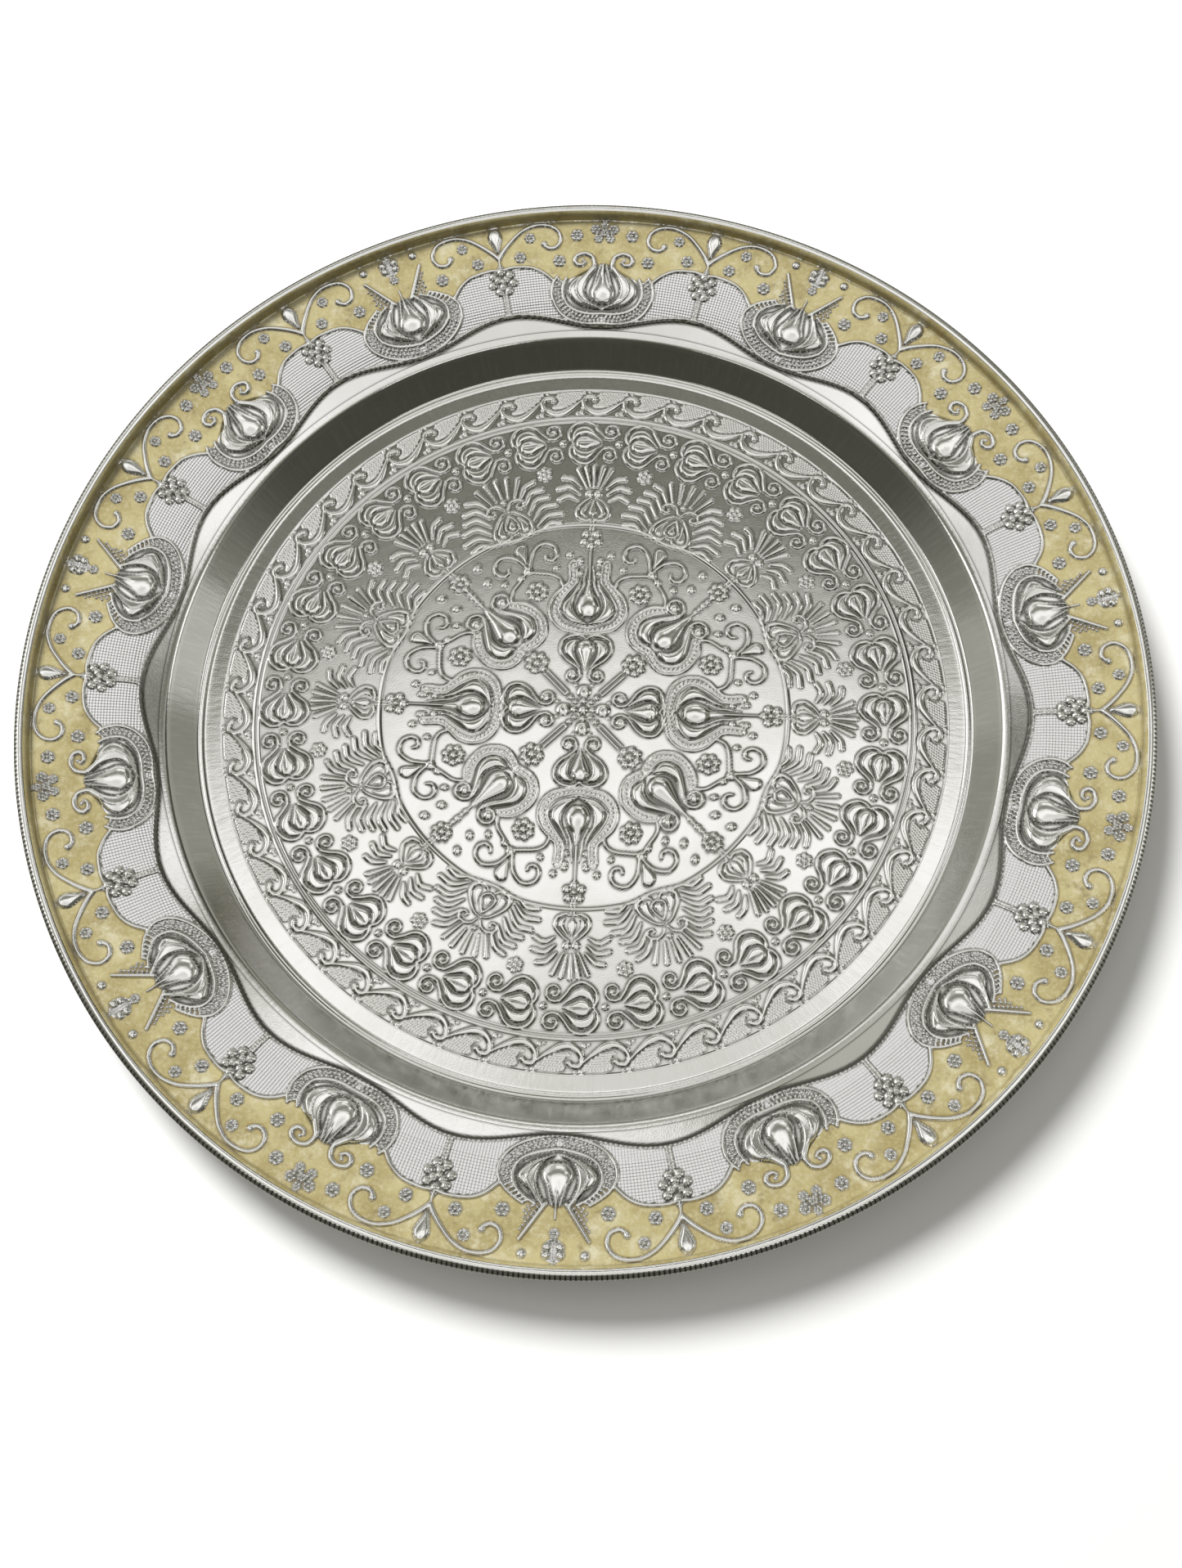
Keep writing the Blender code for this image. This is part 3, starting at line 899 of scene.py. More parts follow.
WELL_CORNERS = (
    (110.0, FLOOR_TOP), (RING_RADIUS, FLOOR_TOP), (RING_RADIUS + RING_WIDTH * 0.4, FLOOR_TOP + RING_RISE),
    (RING_RADIUS + RING_WIDTH * 0.6, FLOOR_TOP + RING_RISE), (RING_RADIUS + RING_WIDTH, FLOOR_TOP),
    WALL_FOOT, WALL_TOP, LIP_EDGE, (140.0, LIP_EDGE[1] + LIP_SLOPE * (140.0 - LIP_EDGE[0])))
UNDER_CORNERS = ((110.0, 0.0), (124.2, 0.1), (131.8, 8.2), (133.0, 8.8), (139.0, 10.9), (143.0, 12.6),
                 (169.4, 17.1), (171.4, 18.3), (174.0, 19.4))
UNDER_RADII = np.arange(111.0, 173.0, 0.2)
UNDER_HEIGHTS = section_heights(UNDER_RADII, UNDER_CORNERS)


def under_height(radius, angle):
    """Underside of the sheet: the relief shows there from behind, softened by the metal's thickness."""
    plain = np.interp(radius, UNDER_RADII, UNDER_HEIGHTS)
    on_border = (radius > 140) & (radius < 170.5)
    rim = np.where(on_border, relief.soft_rim(radius, angle), 0) * smooth_step((radius - 140) / 2)
    flat = np.where(radius < LEAF_EDGE, relief.floor(radius, angle), 0) * 0.55
    return plain + rim * 0.8 + flat


# ---------------------------------------------------------------- meshes

def unit(vectors):
    """Vectors scaled to length 1."""
    return vectors / np.maximum(np.linalg.norm(vectors, axis=-1, keepdims=True), 1e-12)


def grid_normals(points, closed):
    """Unit normals of a grid of points, rows first, columns round the axis."""
    if closed:
        along = np.roll(points, -1, axis=1) - np.roll(points, 1, axis=1)
    else:
        along = np.gradient(points, axis=1)
    return unit(np.cross(along, np.gradient(points, axis=0)))


def fine_normals(points, height, reach=0.12):
    """Unit normals at grid points, from the height of the surface close round each point."""
    x, y = points[:, :, 0], points[:, :, 1]

    def level(dx, dy):
        return height(np.hypot(x + dx, y + dy), np.arctan2(x + dx, y + dy) % TURN)

    return unit(np.stack([level(-reach, 0) - level(reach, 0), level(0, -reach) - level(0, reach),
                          np.full(x.shape, 2 * reach)], axis=2))


def add_mesh(name, points, normals, faces, finish, values):
    """A smooth mesh object that rides on the plate."""
    mesh = bpy.data.meshes.new(name)
    mesh.vertices.add(len(points))
    mesh.vertices.foreach_set("co", (points * MM).astype(np.float32).ravel())
    mesh.loops.add(faces.size)
    mesh.loops.foreach_set("vertex_index", faces.astype(np.int32).ravel())
    mesh.polygons.add(len(faces))
    mesh.polygons.foreach_set("loop_start", np.arange(0, faces.size, 4, dtype=np.int32))
    mesh.update(calc_edges=True)
    for label, numbers in values.items():
        attribute = mesh.attributes.new(label, "FLOAT", "POINT")
        attribute.data.foreach_set("value", numbers.astype(np.float32).ravel())
    mesh.shade_smooth()
    mesh.normals_split_custom_set_from_vertices(normals.astype(np.float32).reshape(-1, 3))
    mesh.materials.append(finish)
    piece = bpy.data.objects.new(name, mesh)
    bpy.context.collection.objects.link(piece)
    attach(piece, "root")
    return piece


def grid_faces(rows, columns, closed, upward=True):
    """Quads of a grid, numbered row by row."""
    i, j = np.meshgrid(np.arange(rows - 1), np.arange(columns if closed else columns - 1), indexing="ij")
    after = (j + 1) % columns
    quads = np.stack([i * columns + j, i * columns + after, (i + 1) * columns + after,
                      (i + 1) * columns + j], axis=-1).reshape(-1, 4)
    return quads if upward else quads[:, ::-1]


def round_grid(radii, angles, height):
    """Points of a polar grid, one row to each radius."""
    radius, angle = np.meshgrid(radii, angles, indexing="ij")
    return np.stack([radius * np.sin(angle), radius * np.cos(angle), height(radius, angle)], axis=2)


def skirt(line, first):
    """A strip that goes down from an edge of the sheet, on its own points."""
    low = line - (0.0, 0.0, SKIRT)
    count = len(line)
    start = first + np.arange(count - 1)
    faces = np.stack([start, start + 1, start + 1 + count, start + count], axis=1)
    side = unit(np.cross(np.gradient(line, axis=0), (0.0, 0.0, 1.0)))
    return np.concatenate([line, low]), np.concatenate([side, side]), faces


def edge_of(grid, edge, closed):
    """One edge of a grid. Round a closed grid it runs back to where it starts."""
    line = grid[edge].reshape(-1, *grid.shape[2:])
    return np.concatenate([line, line[:1]]) if closed else line


def sheet_piece(name, points, closed, finish, values, upward=True, skirts=True, normals=None):
    """A grid of points as one piece of sheet, with a turned-down strip along each edge."""
    if normals is None:
        normals = grid_normals(points, closed)
    all_points = [points.reshape(-1, 3)]
    all_normals = [normals.reshape(-1, 3) * (1 if upward else -1)]
    faces = [grid_faces(*points.shape[:2], closed, upward)]
    fields = {label: [numbers.ravel()] for label, numbers in values.items()}
    whole, first, last = slice(None), slice(0, 1), slice(-1, None)
    edges = [(first, whole), (last, whole)] + ([] if closed else [(whole, first), (whole, last)])
    for edge in edges if skirts else ():
        strip = skirt(edge_of(points, edge, closed), sum(map(len, all_points)))
        for made, part in zip((all_points, all_normals, faces), strip):
            made.append(part)
        for label, numbers in values.items():
            fields[label] += [edge_of(numbers, edge, closed)] * 2
    joined = {label: np.concatenate(parts) for label, parts in fields.items()}
    return add_mesh(name, np.concatenate(all_points), np.concatenate(all_normals), np.concatenate(faces),
                    finish, joined)


def disc_grid(radius, count, height):
    """A square grid of points carried onto a disc, with even cells."""
    a, b = np.meshgrid(np.linspace(-1, 1, count), np.linspace(-1, 1, count))
    wide = np.abs(a) > np.abs(b)
    r = np.where(wide, a, b)
    safe = np.where(np.abs(r) < SAME_POINT, 1.0, r)
    phi = np.where(wide, math.pi / 4 * b / safe, math.pi / 2 - math.pi / 4 * a / safe)
    x, y = r * np.cos(phi) * radius, r * np.sin(phi) * radius
    return np.stack([x, y, height(np.hypot(x, y), np.arctan2(x, y))], axis=2)


def hollows(points, deep):
    """How deep each point lies below its surroundings, for the painted shade in the recesses (0 to 1)."""
    height = points[:, :, 2]
    around = height.copy()
    for _ in range(4):
        padded = np.pad(around, 1, mode="edge")
        around = (padded[:-2, 1:-1] + padded[2:, 1:-1] + padded[1:-1, :-2] + padded[1:-1, 2:]) / 4
    return np.clip((around - height) / deep - 0.08, 0, 1)


# ---------------------------------------------------------------- materials

SILVER = (0.95, 0.95, 0.935)
SILVER_MATT = (0.935, 0.93, 0.94)
SILVER_WARM = (0.86, 0.855, 0.82)
# Near-black olive, used for painted shade in recesses and notches
SILVER_PAINTED_SHADE = (0.085, 0.084, 0.065)
ENAMEL_PALE = (0.50, 0.435, 0.215)
ENAMEL_DEEP = (0.36, 0.295, 0.12)
ENAMEL_CREAM = (0.66, 0.62, 0.44)
ENAMEL_SHADE_AND_SPECK = (0.15, 0.105, 0.045)
STEEL = (0.50, 0.50, 0.49)
STEEL_DARK = (0.36, 0.35, 0.33)
PAPER = (0.90, 0.90, 0.90)
PAPER_WARM = (0.915, 0.915, 0.91)

HATCH_PITCH = 0.0009
HATCHES = 980
MILLINGS = 760
MIX_INPUTS = (0, 6, 7)
MIX_COLOUR = 2


class Nodes:
    """A node tree, and short ways to add nodes to it and to join them."""

    def __init__(self, owner):
        owner.use_nodes = True
        self.tree = owner.node_tree

    def add(self, kind, inputs=(), **settings):
        """A node with some of its settings and inputs given."""
        node = self.tree.nodes.new(kind)
        for key, value in settings.items():
            setattr(node, key, value)
        for label, value in dict(inputs).items():
            self.feed(node.inputs[label], value)
        return node

    def feed(self, socket, value):
        """Gives an input a number, a colour or the output of another node."""
        if isinstance(value, (int, float)):
            socket.default_value = value
        elif isinstance(value, tuple):
            socket.default_value = (*value, 1.0)
        else:
            self.tree.links.new(value, socket)

    def math(self, operation, *values):
        return self.add("ShaderNodeMath", dict(enumerate(values)), operation=operation).outputs[0]

    def range(self, value, low, high, to_low, to_high):
        """A smooth step from one range to another."""
        inputs = {"Value": value, "From Min": low, "From Max": high, "To Min": to_low, "To Max": to_high}
        return self.add("ShaderNodeMapRange", inputs, interpolation_type="SMOOTHSTEP").outputs["Result"]

    def mix(self, factor, first, second):
        inputs = zip(MIX_INPUTS, (factor, first, second))
        return self.add("ShaderNodeMix", inputs, data_type="RGBA").outputs[MIX_COLOUR]


class Finish(Nodes):
    """A material with its Principled shader. It is painted by place on the object."""

    def __init__(self, name):
        self.material = bpy.data.materials.new(name)
        super().__init__(self.material)
        self.place = self.add("ShaderNodeTexCoord").outputs["Object"]

    def noise(self, scale, detail=3.0, roughness=0.5, place=None):
        """A noise field. Scale is in features per metre."""
        place = self.place if place is None else place
        inputs = {"Vector": place, "Scale": scale, "Detail": detail, "Roughness": roughness}
        return self.add("ShaderNodeTexNoise", inputs).outputs["Fac"]

    def patches(self, scale, detail, roughness, low, high, to_low, to_high):
        """Soft-edged patches of noise."""
        return self.range(self.noise(scale, detail, roughness), low, high, to_low, to_high)

    def attribute(self, name):
        return self.add("ShaderNodeAttribute", attribute_name=name).outputs["Fac"]

    def bump(self, height, distance, strength=1.0, **under):
        """A bump. A Normal given with it is the bump that it lies on."""
        inputs = {"Strength": strength, "Distance": distance, "Height": height, **under}
        return self.add("ShaderNodeBump", inputs).outputs["Normal"]

    def polar(self):
        """The distance of a point from the axis, its angle round it, and its x and y."""
        split = self.add("ShaderNodeSeparateXYZ", {"Vector": self.place})
        x, y = split.outputs["X"], split.outputs["Y"]
        squares = self.math("ADD", self.math("MULTIPLY", x, x), self.math("MULTIPLY", y, y))
        return self.math("SQRT", squares), self.math("ARCTAN2", x, y), x, y

    def shade(self, **inputs):
        """Sets inputs of the shader, named with _ for a space, and returns the material."""
        shader = self.tree.nodes["Principled BSDF"]
        for label, value in inputs.items():
            self.feed(shader.inputs[label.replace("_", " ")], value)
        return self.material


def hatching(finish, bump, rough, colour):
    """The matt cells: a fine grid of dimples, duller and whiter than the polished metal."""
    cell = finish.attribute("hatch")
    radius, angle, _, _ = finish.polar()
    rows = finish.math("SINE", finish.math("MULTIPLY", radius, TURN / HATCH_PITCH))
    columns = finish.math("SINE", finish.math("MULTIPLY", angle, HATCHES))
    dimples = finish.math("MULTIPLY", finish.math("ADD", rows, columns), cell)
    # Painted highlight: raised motifs are a little less metallic, so they look paler.
    painted_highlight = finish.math("MULTIPLY", finish.attribute("raised"), 0.06)
    finish.shade(Metallic=finish.math("SUBTRACT", finish.range(cell, 0.0, 1.0, 1.0, 0.5), painted_highlight))
    rough = finish.math("ADD", rough, finish.math("MULTIPLY", cell, 0.30))
    return finish.bump(dimples, 0.00012, Normal=bump), rough, finish.mix(cell, colour, SILVER_MATT)


def milling(finish, bump, rough, colour):
    """The outer flank of the rolled edge: small notches all round, with painted shade inside them."""
    _, angle, _, _ = finish.polar()
    notch = finish.math("SINE", finish.math("MULTIPLY", angle, MILLINGS))
    # Painted shade: the inside of each notch is mixed towards near-black.
    notch_shade = finish.math("MULTIPLY", finish.range(notch, 0.1, 0.7, 0.0, 0.9), finish.attribute("mill"))
    deep = finish.math("MULTIPLY", notch_shade, -1.0)
    return finish.bump(deep, 0.0003, Normal=bump), rough, finish.mix(notch_shade, colour, SILVER_PAINTED_SHADE)


def brushing(finish, bump, rough, colour):
    """The well's wall: faint streaks up and down it."""
    radius, _, x, y = finish.polar()
    spot = {"X": finish.math("DIVIDE", x, radius), "Y": finish.math("DIVIDE", y, radius),
            "Z": finish.math("MULTIPLY", radius, 2.0)}
    streak = finish.noise(90.0, 4.0, place=finish.add("ShaderNodeCombineXYZ", spot).outputs["Vector"])
    colour = finish.mix(finish.range(streak, 0.45, 0.75, 0.0, 0.4), colour, SILVER_WARM)
    return finish.bump(streak, 0.0002, 0.12, Normal=bump), rough, colour


def silver_material(name, working=None):
    """Bright pressed metal with painted shade in its recesses, soft smudges and a fine grain."""
    finish = Finish(name)
    finish.shade(Metallic=1.0)
    colour = finish.mix(finish.patches(55, 4, 0.5, 0.35, 0.7, 0.0, 0.55), SILVER, SILVER_WARM)
    # Painted shade: recesses, a band of the wall and the rim's wavy step are mixed towards near-black olive.
    colour = finish.mix(finish.math("MULTIPLY", finish.attribute("painted_shade"), 0.85), colour, SILVER_PAINTED_SHADE)
    smudge = finish.patches(28, 5, 0.6, 0.3, 0.75, 0.05, 0.11)
    grain = finish.patches(1400, 2, 0.5, 0.3, 0.7, -0.02, 0.03)
    rough = finish.math("ADD", smudge, grain)
    waves = finish.bump(finish.noise(120, 2), 0.0003, 0.12)
    bump = finish.bump(finish.noise(2600, 2), 0.00004, 0.35, Normal=waves)
    if working:
        bump, rough, colour = working(finish, bump, rough, colour)
    return finish.shade(Normal=bump, Roughness=rough, Base_Color=colour)


def enamel_material():
    """Pearly gold enamel, brushed on: clouds of paler and deeper gold and brown specks, with painted shade
    (browner) beside the silver lines and up the flank of the rolled edge.
    """
    finish = Finish("gold_enamel_pearl")
    colour = finish.mix(finish.patches(75, 5, 0.62, 0.34, 0.66, 0.0, 1.0), ENAMEL_PALE, ENAMEL_DEEP)
    colour = finish.mix(finish.patches(130, 6, 0.7, 0.5, 0.72, 0.0, 0.85), colour, ENAMEL_CREAM)
    colour = finish.mix(finish.patches(900, 3, 0.7, 0.42, 0.8, 0.0, 0.45), colour, ENAMEL_CREAM)
    # Painted shade: browner beside the silver lines and on the flank of the rolled edge. The specks are the
    # enamel's own.
    edge_shade = finish.range(finish.attribute("edge"), 0.06, 0.4, 0.0, 0.85)
    speck = finish.patches(210, 4, 0.65, 0.55, 0.78, 0.0, 0.6)
    colour = finish.mix(finish.math("MAXIMUM", edge_shade, speck), colour, ENAMEL_SHADE_AND_SPECK)
    return finish.shade(Base_Color=colour,
                        Metallic=0.2,
                        Roughness=finish.patches(260, 3, 0.5, 0.3, 0.7, 0.26, 0.46),
                        Coat_Weight=0.5,
                        Coat_Roughness=0.12,
                        Normal=finish.bump(finish.noise(330, 5, 0.65), 0.0003, 0.6))


def wire_material():
    """Drawn steel wire: dull grey, with fine lines along it."""
    finish = Finish("drawn_steel")
    colour = finish.mix(finish.patches(300, 4, 0.5, 0.3, 0.7, 0.0, 1.0), STEEL, STEEL_DARK)
    return finish.shade(Base_Color=colour,
                        Metallic=1.0,
                        Roughness=finish.patches(700, 2, 0.5, 0.3, 0.7, 0.28, 0.42),
                        Normal=finish.bump(finish.noise(2000, 2), 0.00003, 0.5))


def floor_material():
    """Plain pale paper."""
    finish = Finish("studio_floor")
    return finish.shade(Base_Color=finish.mix(finish.noise(3, 2), PAPER, PAPER_WARM), Roughness=0.9,
                        Specular_IOR_Level=0.1)


# ---------------------------------------------------------------- the plate's pieces

SECTORS = 4
ROW_STEP = 0.38
MEDALLION_CELLS = 300
MEDALLION_RECESS = 0.125
RING_RECESS = 0.112
RIM_RECESS = 0.078
RIM_COLUMNS = 2688
WALL_COLUMNS = 720
EDGE_COLUMNS = 840
ENAMEL_COLUMNS = 1960
UNDER_COLUMNS = 900
UNDER_SPLIT = 120.0
NOTCHES = 616
# Where the enamel lies on the flank of the rolled edge: angle about the bead's centre, and how much painted
# shade (brown) it has
ENAMEL_FLANK = ((188, 0.22), (174, 0.2), (160, 0.18), (147, 0.16), (134, 0.12), (122, 0.1))
FLOOR_RINGS = (("floor_fan_ring", MEDALLION_EDGE, FAN_EDGE, 1408),
               ("floor_onion_ring", FAN_EDGE, ONION_EDGE, 1728),
               ("floor_leaf_ring", ONION_EDGE, LEAF_EDGE, 2100))


def ring_radii(low, high, step):
    return np.linspace(low, high, max(2, round((high - low) / step) + 1))


def round_angles(columns):
    return np.linspace(0, TURN, columns, endpoint=False)


def floor_pieces(finish):
    """The floor: a disc and three rings, each with even cells of its own."""
    grids = [("floor_medallion", disc_grid(MEDALLION_EDGE, MEDALLION_CELLS, floor_top), False,
              MEDALLION_RECESS)]
    for name, low, high, columns in FLOOR_RINGS:
        points = round_grid(ring_radii(low, high, ROW_STEP), round_angles(columns), floor_top)
        grids.append((name, points, True, RING_RECESS))
    # Painted shade in the recesses of the floor.
    return [sheet_piece(name, points, closed, finish, {"painted_shade": hollows(points, deep)},
                        normals=fine_normals(points, floor_top)) for name, points, closed, deep in grids]


def wall_piece(finish):
    """The raised ring at the foot, the wall and the polished lip."""
    radii = np.concatenate([ring_radii(LEAF_EDGE, 120.6, 0.9), ring_radii(121.0, 125.2, 0.22),
                            ring_radii(126.0, 129.9, 0.8), ring_radii(130.4, RIM_START, 0.22)])
    heights = section_heights(radii, WELL_CORNERS)
    points = round_grid(radii, round_angles(WALL_COLUMNS),
                        lambda radius, angle: np.interp(radius, radii, heights))
    # Painted shade: a dark band down the wall, on the attribute that darkens recesses.
    shade = np.interp(radii, (123.0, 124.6, 130.0, 131.0), (0.0, 0.32, 0.32, 0.0))
    return sheet_piece("well_wall", points, True, finish,
                       {"painted_shade": np.repeat(shade[:, None], WALL_COLUMNS, axis=1)})


def hatch_mask(radius, angle):
    """Where the rim has its matt cells (1) and where it is polished (0)."""
    flat = np.clip(1 - np.abs(relief.rim(radius, angle) - CELL_LEVEL) / 0.06, 0, 1)
    return flat * smooth_step((radius - wavy_edge(angle) - 1.0) / 0.4)


def painted_step_shade(radius, angle):
    """Painted shade: a dark, notched line along the wavy edge (0 to 1), fainter on the far side."""
    notch = 0.5 + 0.2 * np.cos(NOTCHES * angle)
    near = 0.35 + 0.65 * smooth_step(0.5 - 0.8 * np.cos(angle))
    return near * smooth_step(1.6 - np.abs(radius - wavy_edge(angle) - 0.15) / notch)


def rim_pieces(finish):
    """The embossed rim, in four equal sectors."""
    radii = ring_radii(RIM_START, RIM_END, ROW_STEP)
    angles = round_angles(RIM_COLUMNS)
    points = round_grid(radii, angles, rim_top)
    radius, angle = np.meshgrid(radii, angles, indexing="ij")
    # Painted shade of the rim: its recesses, and the dark line along the wavy step.
    low = np.maximum(hollows(points, RIM_RECESS), painted_step_shade(radius, angle))
    raised = smooth_step((relief.rim(radius, angle) - CELL_LEVEL - 0.1) / 0.25) * (1 - low)
    values = {"painted_shade": low, "hatch": hatch_mask(radius, angle), "raised": raised}
    normals = fine_normals(points, rim_top)
    made = []
    share = RIM_COLUMNS // SECTORS
    for sector in range(SECTORS):
        part = np.arange(sector * share, (sector + 1) * share + 1) % RIM_COLUMNS
        made.append(sheet_piece(f"rim_ornament_{sector + 1}", points[:, part], False, finish,
                                {label: numbers[:, part] for label, numbers in values.items()},
                                normals=normals[:, part]))
    return made


def bead_arc(radius, start, end, steps):
    """Points of the rolled edge's section on an arc about its centre. Angles in degrees."""
    return spiral(BEAD_CENTRE, radius, radius, start, end - start, steps)


def rolled_edge(finish):
    """The sheet's edge, rolled down over the wire."""
    outside = bead_arc(BEAD_RADIUS, 200, -110, 34)
    inside = bead_arc(BEAD_RADIUS - SHEET, -110, 200, 18)
    section = np.vstack([[(170.4, 17.9), (170.75, 18.6)], outside, inside, [(171.4, 18.3), (170.9, 17.4)]])
    angles = round_angles(EDGE_COLUMNS)
    points = np.stack([section[:, :1] * np.sin(angles), section[:, :1] * np.cos(angles),
                       np.repeat(section[:, 1:], EDGE_COLUMNS, axis=1)], axis=2)
    away = np.arctan2(section[:, 1] - BEAD_CENTRE[1], section[:, 0] - BEAD_CENTRE[0])
    outer = np.arange(len(section)) < len(outside) + 2
    mill = np.where(outer, smooth_step(2.2 - np.abs(away - math.radians(18)) / 0.45), 0.0)
    milled = np.repeat(mill[:, None], EDGE_COLUMNS, axis=1)
    return sheet_piece("rolled_edge", points, True, finish,
                       {"painted_shade": np.zeros(points.shape[:2]), "mill": milled}, skirts=False)


def enamel_piece(finish):
    """The enamel: it fills the ground of the border and climbs the inner flank of the rolled edge."""
    angles = round_angles(ENAMEL_COLUMNS)
    shares = np.linspace(0, 1, 44)[:, None]
    inner = 151.3 + 3.1 * np.cos(2 * TULIPS * angles)
    radius = inner + (RIM_END - 0.2 - inner) * shares
    angle = np.broadcast_to(angles, radius.shape)
    swell = relief.soft_rim(radius, angle)
    height = rim_base(radius) + ENAMEL_LEVEL + 0.2 * swell
    height[0] -= 0.8
    turn, flank_shade = np.hsplit(np.array(ENAMEL_FLANK), 2)
    level = np.ones((1, ENAMEL_COLUMNS))
    reach = BEAD_RADIUS + 0.12
    radius = np.vstack([radius, (BEAD_CENTRE[0] + reach * np.cos(np.radians(turn))) * level])
    height = np.vstack([height, (BEAD_CENTRE[1] + reach * np.sin(np.radians(turn))) * level])
    # Painted shade: how brown the enamel is, from the relief nearby and up the flank of the rolled edge.
    edge_shade = np.vstack([swell, flank_shade * level])
    points = np.stack([radius * np.sin(angles), radius * np.cos(angles), height], axis=2)
    return sheet_piece("rim_enamel_layer", points, True, finish, {"edge": edge_shade},
                       skirts=False)


def underside_pieces(finish):
    """The back of the sheet: a disc under the floor and a ring under the wall and rim."""
    rim = round_grid(ring_radii(UNDER_SPLIT, 171.2, 0.95), round_angles(UNDER_COLUMNS), under_height)
    grids = (("floor_underside", disc_grid(UNDER_SPLIT, 230, under_height), False),
             ("rim_underside", rim, True))
    return [sheet_piece(name, points, closed, finish, {"painted_shade": np.zeros(points.shape[:2])},
                        upward=False, skirts=False) for name, points, closed in grids]


# ---------------------------------------------------------------- stage, light and camera

# Tones of the room round the plate, by elevation in degrees
FRONT_TONES = ((-90, 0.40), (-34, 0.30), (-14, 0.10), (4, 0.12), (11, 0.24), (18, 0.34), (25, 0.28),
               (34, 0.20), (46, 0.40), (54, 0.36), (58, 0.15), (64, 0.18), (67, 0.70), (70, 1.0), (76, 1.0),
               (79, 0.68), (84, 0.66), (90, 0.75))
REAR_TONES = ((-90, 0.36), (-48, 0.24), (-26, 0.05), (6, 0.07), (14, 0.105), (25, 0.085), (32, 0.06),
              (42, 0.07), (52, 0.12), (62, 0.34), (72, 0.75), (90, 0.75))
# Lit and dark panels: azimuth and its half width, elevation and its half width, softness (degrees), tone
PANELS = ((-68, 28, 0, 13, 12, 0.36), (66, 24, 0, 12, 12, 0.38), (54, 30, 40, 10, 8, 0.06),
          (-52, 24, 40, 14, 10, 0.80), (3, 14, 50, 4, 3, 1.0), (-24, 6, 50, 4, 3, 0.45),
          (29, 7, 57, 3, 3, 0.95), (-57, 9, 63, 3, 4, 0.80), (-77, 10, 12, 5, 4, 0.45),
          (78, 10, 17, 5, 4, 0.62), (90, 25, 79, 3, 3, 0.85), (-90, 25, 79, 3, 3, 0.85),
          (-40, 16, 78, 2, 3, 1.0), (-75, 20, 40, 9, 6, 1.5), (76, 12, 38, 8, 6, 1.2),
          (-8, 20, 34, 5, 4, 0.9), (150, 16, 52, 6, 5, 0.9), (-140, 14, 48, 6, 5, 0.7))
REAR_STARTS = (80, 115)
BACKDROP = (0.45, 0.45, 0.445)
KEY_PLACE = (-0.75, 0.85, 1.5)
KEY_SIZE = 0.7
KEY_POWER = 42.0
FLOOR_SIZE = 16.0
FLOOR_DROP = 0.0003
CAMERA_PLACE = (0.02243, -0.18156, 0.49594)
CAMERA_RIGHT = Vector((0.99868, 0.0458, -0.02335))
CAMERA_UP = Vector((-0.03658, 0.95225, 0.30312))
CAMERA_LENS = 37.915


def stage_floor():
    bpy.ops.mesh.primitive_plane_add(size=FLOOR_SIZE, location=(0, 0, -FLOOR_DROP))
    ground = bpy.context.object
    ground.name = "studio_floor"
    ground.data.materials.append(floor_material())
    ground.visible_glossy = False


def key_lamp():
    """A soft round lamp behind the plate, on the left."""
    data = bpy.data.lights.new("key", "AREA")
    data.shape = "DISK"
    data.size = KEY_SIZE
    data.energy = KEY_POWER
    lamp = bpy.data.objects.new("key", data)
    lamp.location = KEY_PLACE
    lamp.rotation_euler = (-Vector(KEY_PLACE)).to_track_quat("-Z", "Y").to_euler()
    lamp.visible_glossy = False
    bpy.context.collection.objects.link(lamp)


def room_colour(tone):
    """Dark parts of the room are a little olive, bright parts are neutral."""
    return tone, tone * 0.99, tone * (0.79 + 0.18 * min(1.0, tone / 0.8))


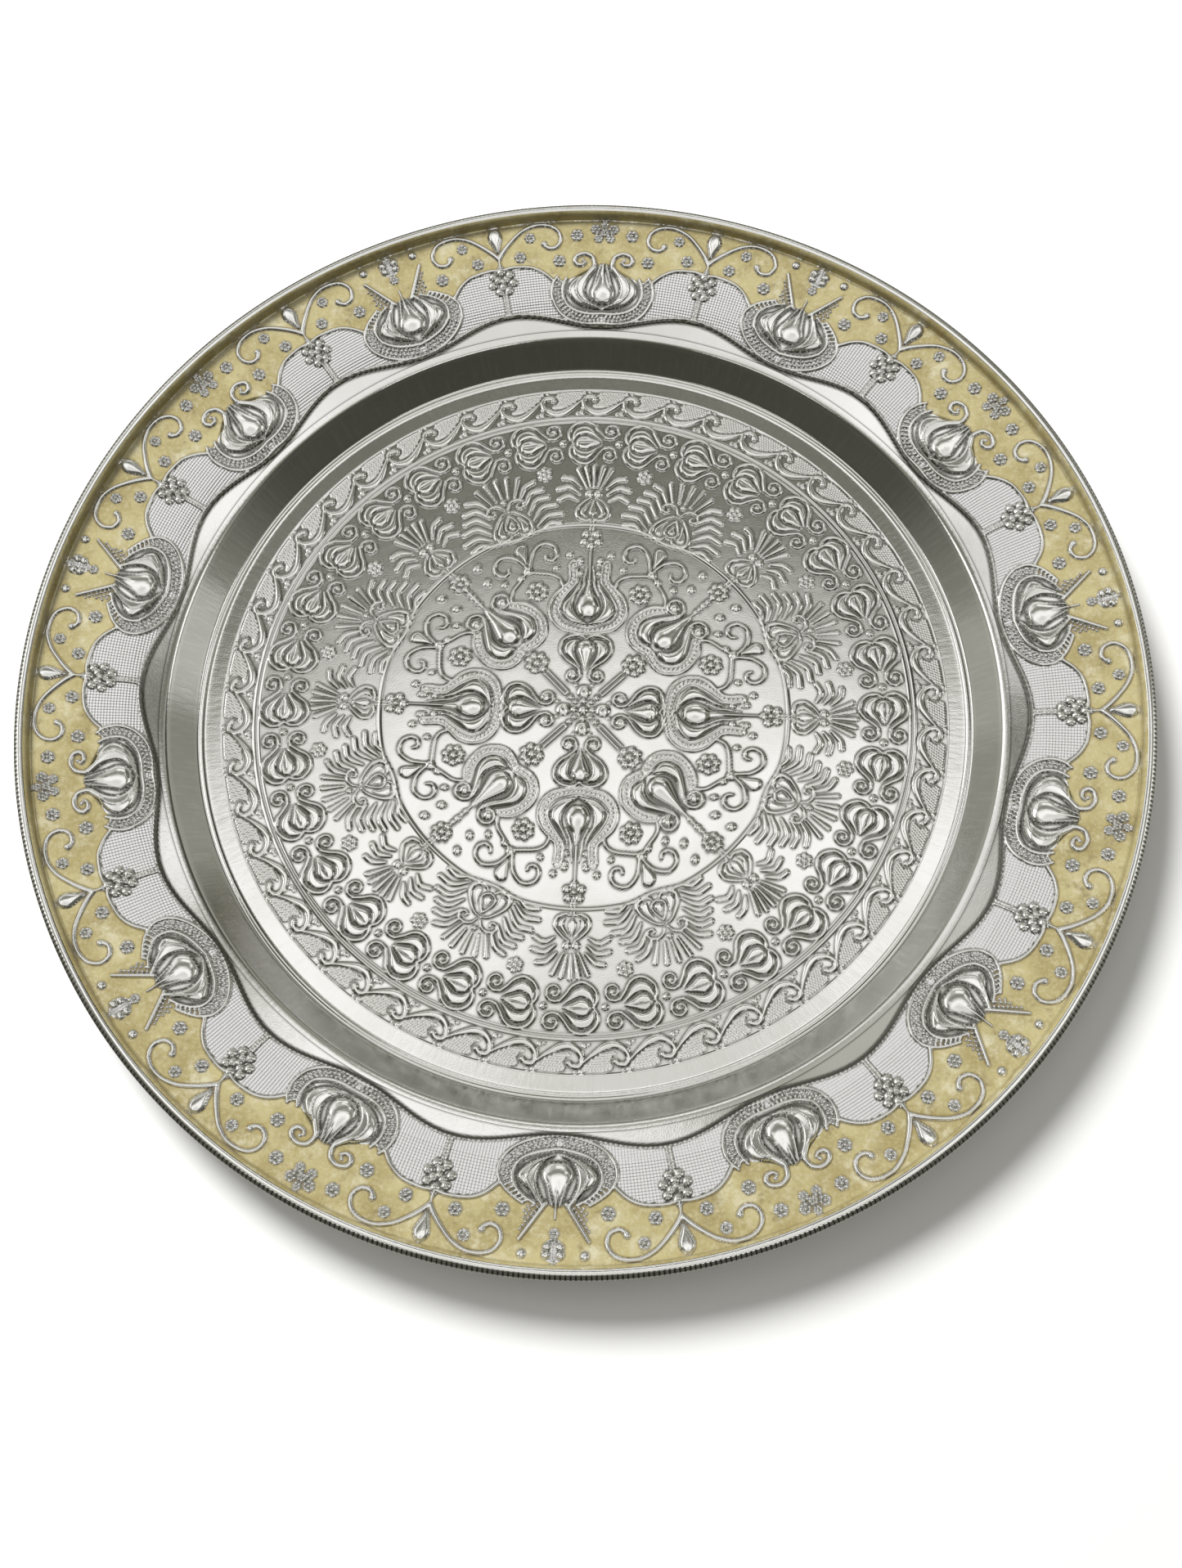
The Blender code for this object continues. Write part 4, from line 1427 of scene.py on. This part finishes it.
class Room(Nodes):
    """The world's nodes: tones and panels laid out by azimuth (clockwise from +Y) and elevation."""

    def __init__(self):
        self.world = bpy.data.worlds.new("studio")
        super().__init__(self.world)
        place = self.add("ShaderNodeTexCoord").outputs["Generated"]
        x, y, z = self.add("ShaderNodeSeparateXYZ", {0: place}).outputs
        self.elevation = self.math("DEGREES", self.math("ARCSINE", z))
        self.azimuth = self.math("DEGREES", self.math("ARCTAN2", x, y))

    def tones(self, stops):
        """A ramp of tones by elevation."""
        share = self.math("DIVIDE", self.math("ADD", self.elevation, 90.0), 180.0)
        ramp = self.add("ShaderNodeValToRGB", {"Fac": share})
        elements = ramp.color_ramp.elements
        while len(elements) < len(stops):
            elements.new(0.5)
        for element, (degrees, tone) in zip(elements, stops):
            element.position = (degrees + 90) / 180
            element.color = (*room_colour(tone), 1.0)
        return ramp.outputs["Color"]

    def within(self, value, middle, half, soft):
        """1 within a half width of a middle, 0 outside, with a soft edge."""
        away = self.math("ABSOLUTE", self.math("SUBTRACT", value, middle))
        return self.range(away, half - soft / 2, half + soft / 2, 1.0, 0.0)


def studio_world():
    """The room that the silver reflects: a dark wall low down, a bright ceiling with panels, a dark rear."""
    room = Room()
    behind = room.range(room.math("ABSOLUTE", room.azimuth), *REAR_STARTS, 0.0, 1.0)
    look = room.mix(behind, room.tones(FRONT_TONES), room.tones(REAR_TONES))
    for azimuth, half, elevation, rise, soft, tone in PANELS:
        place = room.math("MULTIPLY", room.within(room.azimuth, azimuth, half, soft),
                          room.within(room.elevation, elevation, rise, soft))
        look = room.mix(place, look, room_colour(tone))
    seen = room.add("ShaderNodeLightPath").outputs["Is Camera Ray"]
    room.feed(room.tree.nodes["Background"].inputs["Color"], room.mix(seen, look, BACKDROP))
    bpy.context.scene.world = room.world


def photo_camera():
    data = bpy.data.cameras.new("photo_camera")
    data.sensor_width = 36.0
    data.lens = CAMERA_LENS
    data.clip_start = 0.01
    data.clip_end = 20.0
    camera = bpy.data.objects.new("photo_camera", data)
    axes = (CAMERA_RIGHT, CAMERA_UP, CAMERA_RIGHT.cross(CAMERA_UP))
    camera.matrix_world = Matrix.Translation(CAMERA_PLACE) @ Matrix(axes).transposed().to_4x4()
    bpy.context.collection.objects.link(camera)
    bpy.context.scene.camera = camera


# ---------------------------------------------------------------- assembly

relief = Relief()

polished = silver_material("polished_silver")
worked = silver_material("worked_silver", hatching)
brushed = silver_material("brushed_silver", brushing)
milled = silver_material("milled_silver", milling)
metal = floor_pieces(polished) + [wall_piece(brushed)] + rim_pieces(worked) + [rolled_edge(milled)]
metal += underside_pieces(polished)
for piece in metal:
    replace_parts(piece, "tray_body")
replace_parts(enamel_piece(enamel_material()), "rim_enamel")
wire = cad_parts["edge_wire"]
wire.data.materials.clear()
wire.data.materials.append(wire_material())

stage_floor()
studio_world()
key_lamp()
photo_camera()
view = bpy.context.scene.view_settings
view.view_transform = "Standard"
view.look = "None"
